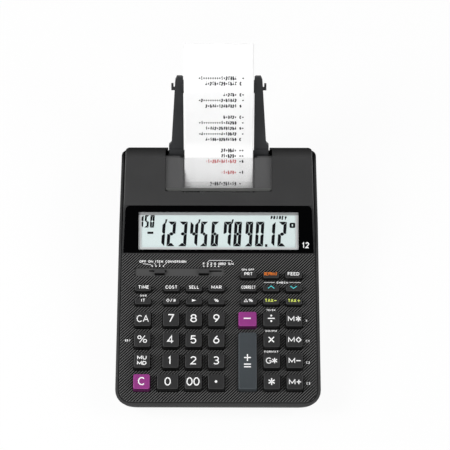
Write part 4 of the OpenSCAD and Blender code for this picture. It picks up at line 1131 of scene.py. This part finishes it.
# a domed head whose crown points down: rings from the rim to the middle, then a cross recess, whose
# share of the radius is 0.2 plus 0.2 times the sixth power of the cosine of twice the angle
def screwHead(x, y):
    k = screwLook
    a = np.linspace(0, 2 * np.pi, k["points"], endpoint=False)
    cross = 0.2 + 0.2 * np.abs(np.cos(2 * a)) ** 6
    rings = []
    for share, height in k["profile"] + tuple((cross, height) for height in k["recess"]):
        r = k["r"] * share
        rings.append(np.c_[x + r * np.cos(a), y + r * np.sin(a), np.full(len(a), k["z"] + height)])
    faces = gridFaces(len(rings), len(a), False, True)
    n = len(rings) * len(a)
    return np.concatenate(rings), faces + [list(range(n - len(a), n)), list(range(len(a)))[::-1]]


heads = [screwHead(x, y) for x in (-screwLook["x"], screwLook["x"]) for y in screwLook["y"]]
putPiece("caseScrews", heads, materials["screw"], "base")
print("screws made")


# white floor: mostly glowing to the camera, in mirrors and through clear plastic, and plain to the
# other light
floorLook = {"tone": (0.9, 0.9, 0.9), "half": 4, "glow": 0.92}


def floorMaterial():
    mat, tree, shader, where = startMaterial("floorWhite", floorLook["tone"], 0.9)
    glow = tree.nodes.new("ShaderNodeEmission")
    glow.inputs["Strength"].default_value = 1.0
    mix = tree.nodes.new("ShaderNodeMixShader")
    ray = tree.nodes.new("ShaderNodeLightPath").outputs
    seen = sumNode(tree, "MAXIMUM", ray["Is Glossy Ray"], ray["Is Transmission Ray"])
    seen = sumNode(tree, "MAXIMUM", ray["Is Camera Ray"], seen)
    tree.links.new(times(tree, seen, floorLook["glow"]), mix.inputs["Fac"])
    tree.links.new(shader.outputs["BSDF"], mix.inputs[1])
    tree.links.new(glow.outputs["Emission"], mix.inputs[2])
    out = [n for n in tree.nodes if n.type == "OUTPUT_MATERIAL"][0]
    tree.links.new(mix.outputs["Shader"], out.inputs["Surface"])
    return mat


half = floorLook["half"]
corners = [(-half, -half, 0), (half, -half, 0), (half, half, 0), (-half, half, 0)]
floorMesh = bpy.data.meshes.new("floor")
floorMesh.from_pydata(corners, [], [(0, 1, 2, 3)])
floorMesh.materials.append(floorMaterial())
floor = bpy.data.objects.new("floor", floorMesh)
bpy.context.scene.collection.objects.link(floor)

# lamps, and the point in metres that they face
aim = np.array([0, 0, 0.04])
lights = {
    "keyLight": {"place": (-1.1, -0.1, 0.85), "size": 0.7, "watts": 13.0},
    "sideLight": {"place": (1.2, -0.1, 0.9), "size": 0.8, "watts": 9.0},
    "frontFill": {"place": (0.1, -1.5, 0.9), "size": 1.2, "watts": 4.0},
}
for name, k in lights.items():
    lamp = bpy.data.lights.new(name, "AREA")
    lamp.shape = "DISK"
    lamp.size = k["size"]
    lamp.energy = k["watts"]
    holder = bpy.data.objects.new(name, lamp)
    bpy.context.scene.collection.objects.link(holder)
    holder.location = k["place"]
    way = aim - np.array(k["place"])
    way /= np.linalg.norm(way)
    holder.rotation_euler = (math.acos(-way[2]), 0, math.atan2(-way[0], way[1]))


# a white room, dimmer behind, with a dark ceiling that keeps the glossy faces under it dark; ranges
# are of the direction's z for the ceiling and of its y for the rear
roomLook = {"wall": 0.68, "rear": 0.42, "rearRange": (-0.2, 0.6), "ceiling": 0.1,
            "ceilingRange": (0.6, 0.93)}


def roomWorld():
    k = roomLook
    world = bpy.data.worlds.new("softRoom")
    world.use_nodes = True
    bpy.context.scene.world = world
    tree = world.node_tree
    tree.nodes.clear()
    x, y, z = axesOf(tree, tree.nodes.new("ShaderNodeTexCoord").outputs["Generated"])
    sky = tree.nodes.new("ShaderNodeBackground")
    overhead = spread(tree, z, 1, k["ceiling"], *k["ceilingRange"])
    behind = spread(tree, y, k["wall"], k["rear"], *k["rearRange"])
    tree.links.new(times(tree, overhead, behind), sky.inputs["Strength"])
    bright = tree.nodes.new("ShaderNodeBackground")
    for shade in (sky, bright):
        shade.inputs["Color"].default_value = (1, 1, 1, 1)
    pick = tree.nodes.new("ShaderNodeMixShader")
    tree.links.new(tree.nodes.new("ShaderNodeLightPath").outputs["Is Camera Ray"], pick.inputs["Fac"])
    tree.links.new(sky.outputs["Background"], pick.inputs[1])
    tree.links.new(bright.outputs["Background"], pick.inputs[2])
    end = tree.nodes.new("ShaderNodeOutputWorld")
    tree.links.new(pick.outputs["Shader"], end.inputs["Surface"])


roomWorld()

# tilt is from straight down; roll is about the line of sight
cameraLook = {"place": (0.00533, -0.57542, 1.19513), "tilt": 27, "roll": 0.115, "lens": 124.82, "sensor": 36}
camera = bpy.data.objects.new("camera", bpy.data.cameras.new("camera"))
camera.data.sensor_width = cameraLook["sensor"]
camera.data.lens = cameraLook["lens"]
camera.location = cameraLook["place"]
tilt = Matrix.Rotation(math.radians(cameraLook["tilt"]), 3, "X")
camera.rotation_euler = (tilt @ Matrix.Rotation(math.radians(cameraLook["roll"]), 3, "Z")).to_euler()
bpy.context.scene.collection.objects.link(camera)
bpy.context.scene.camera = camera
bpy.context.scene.view_settings.view_transform = "Standard"
print("stage set")
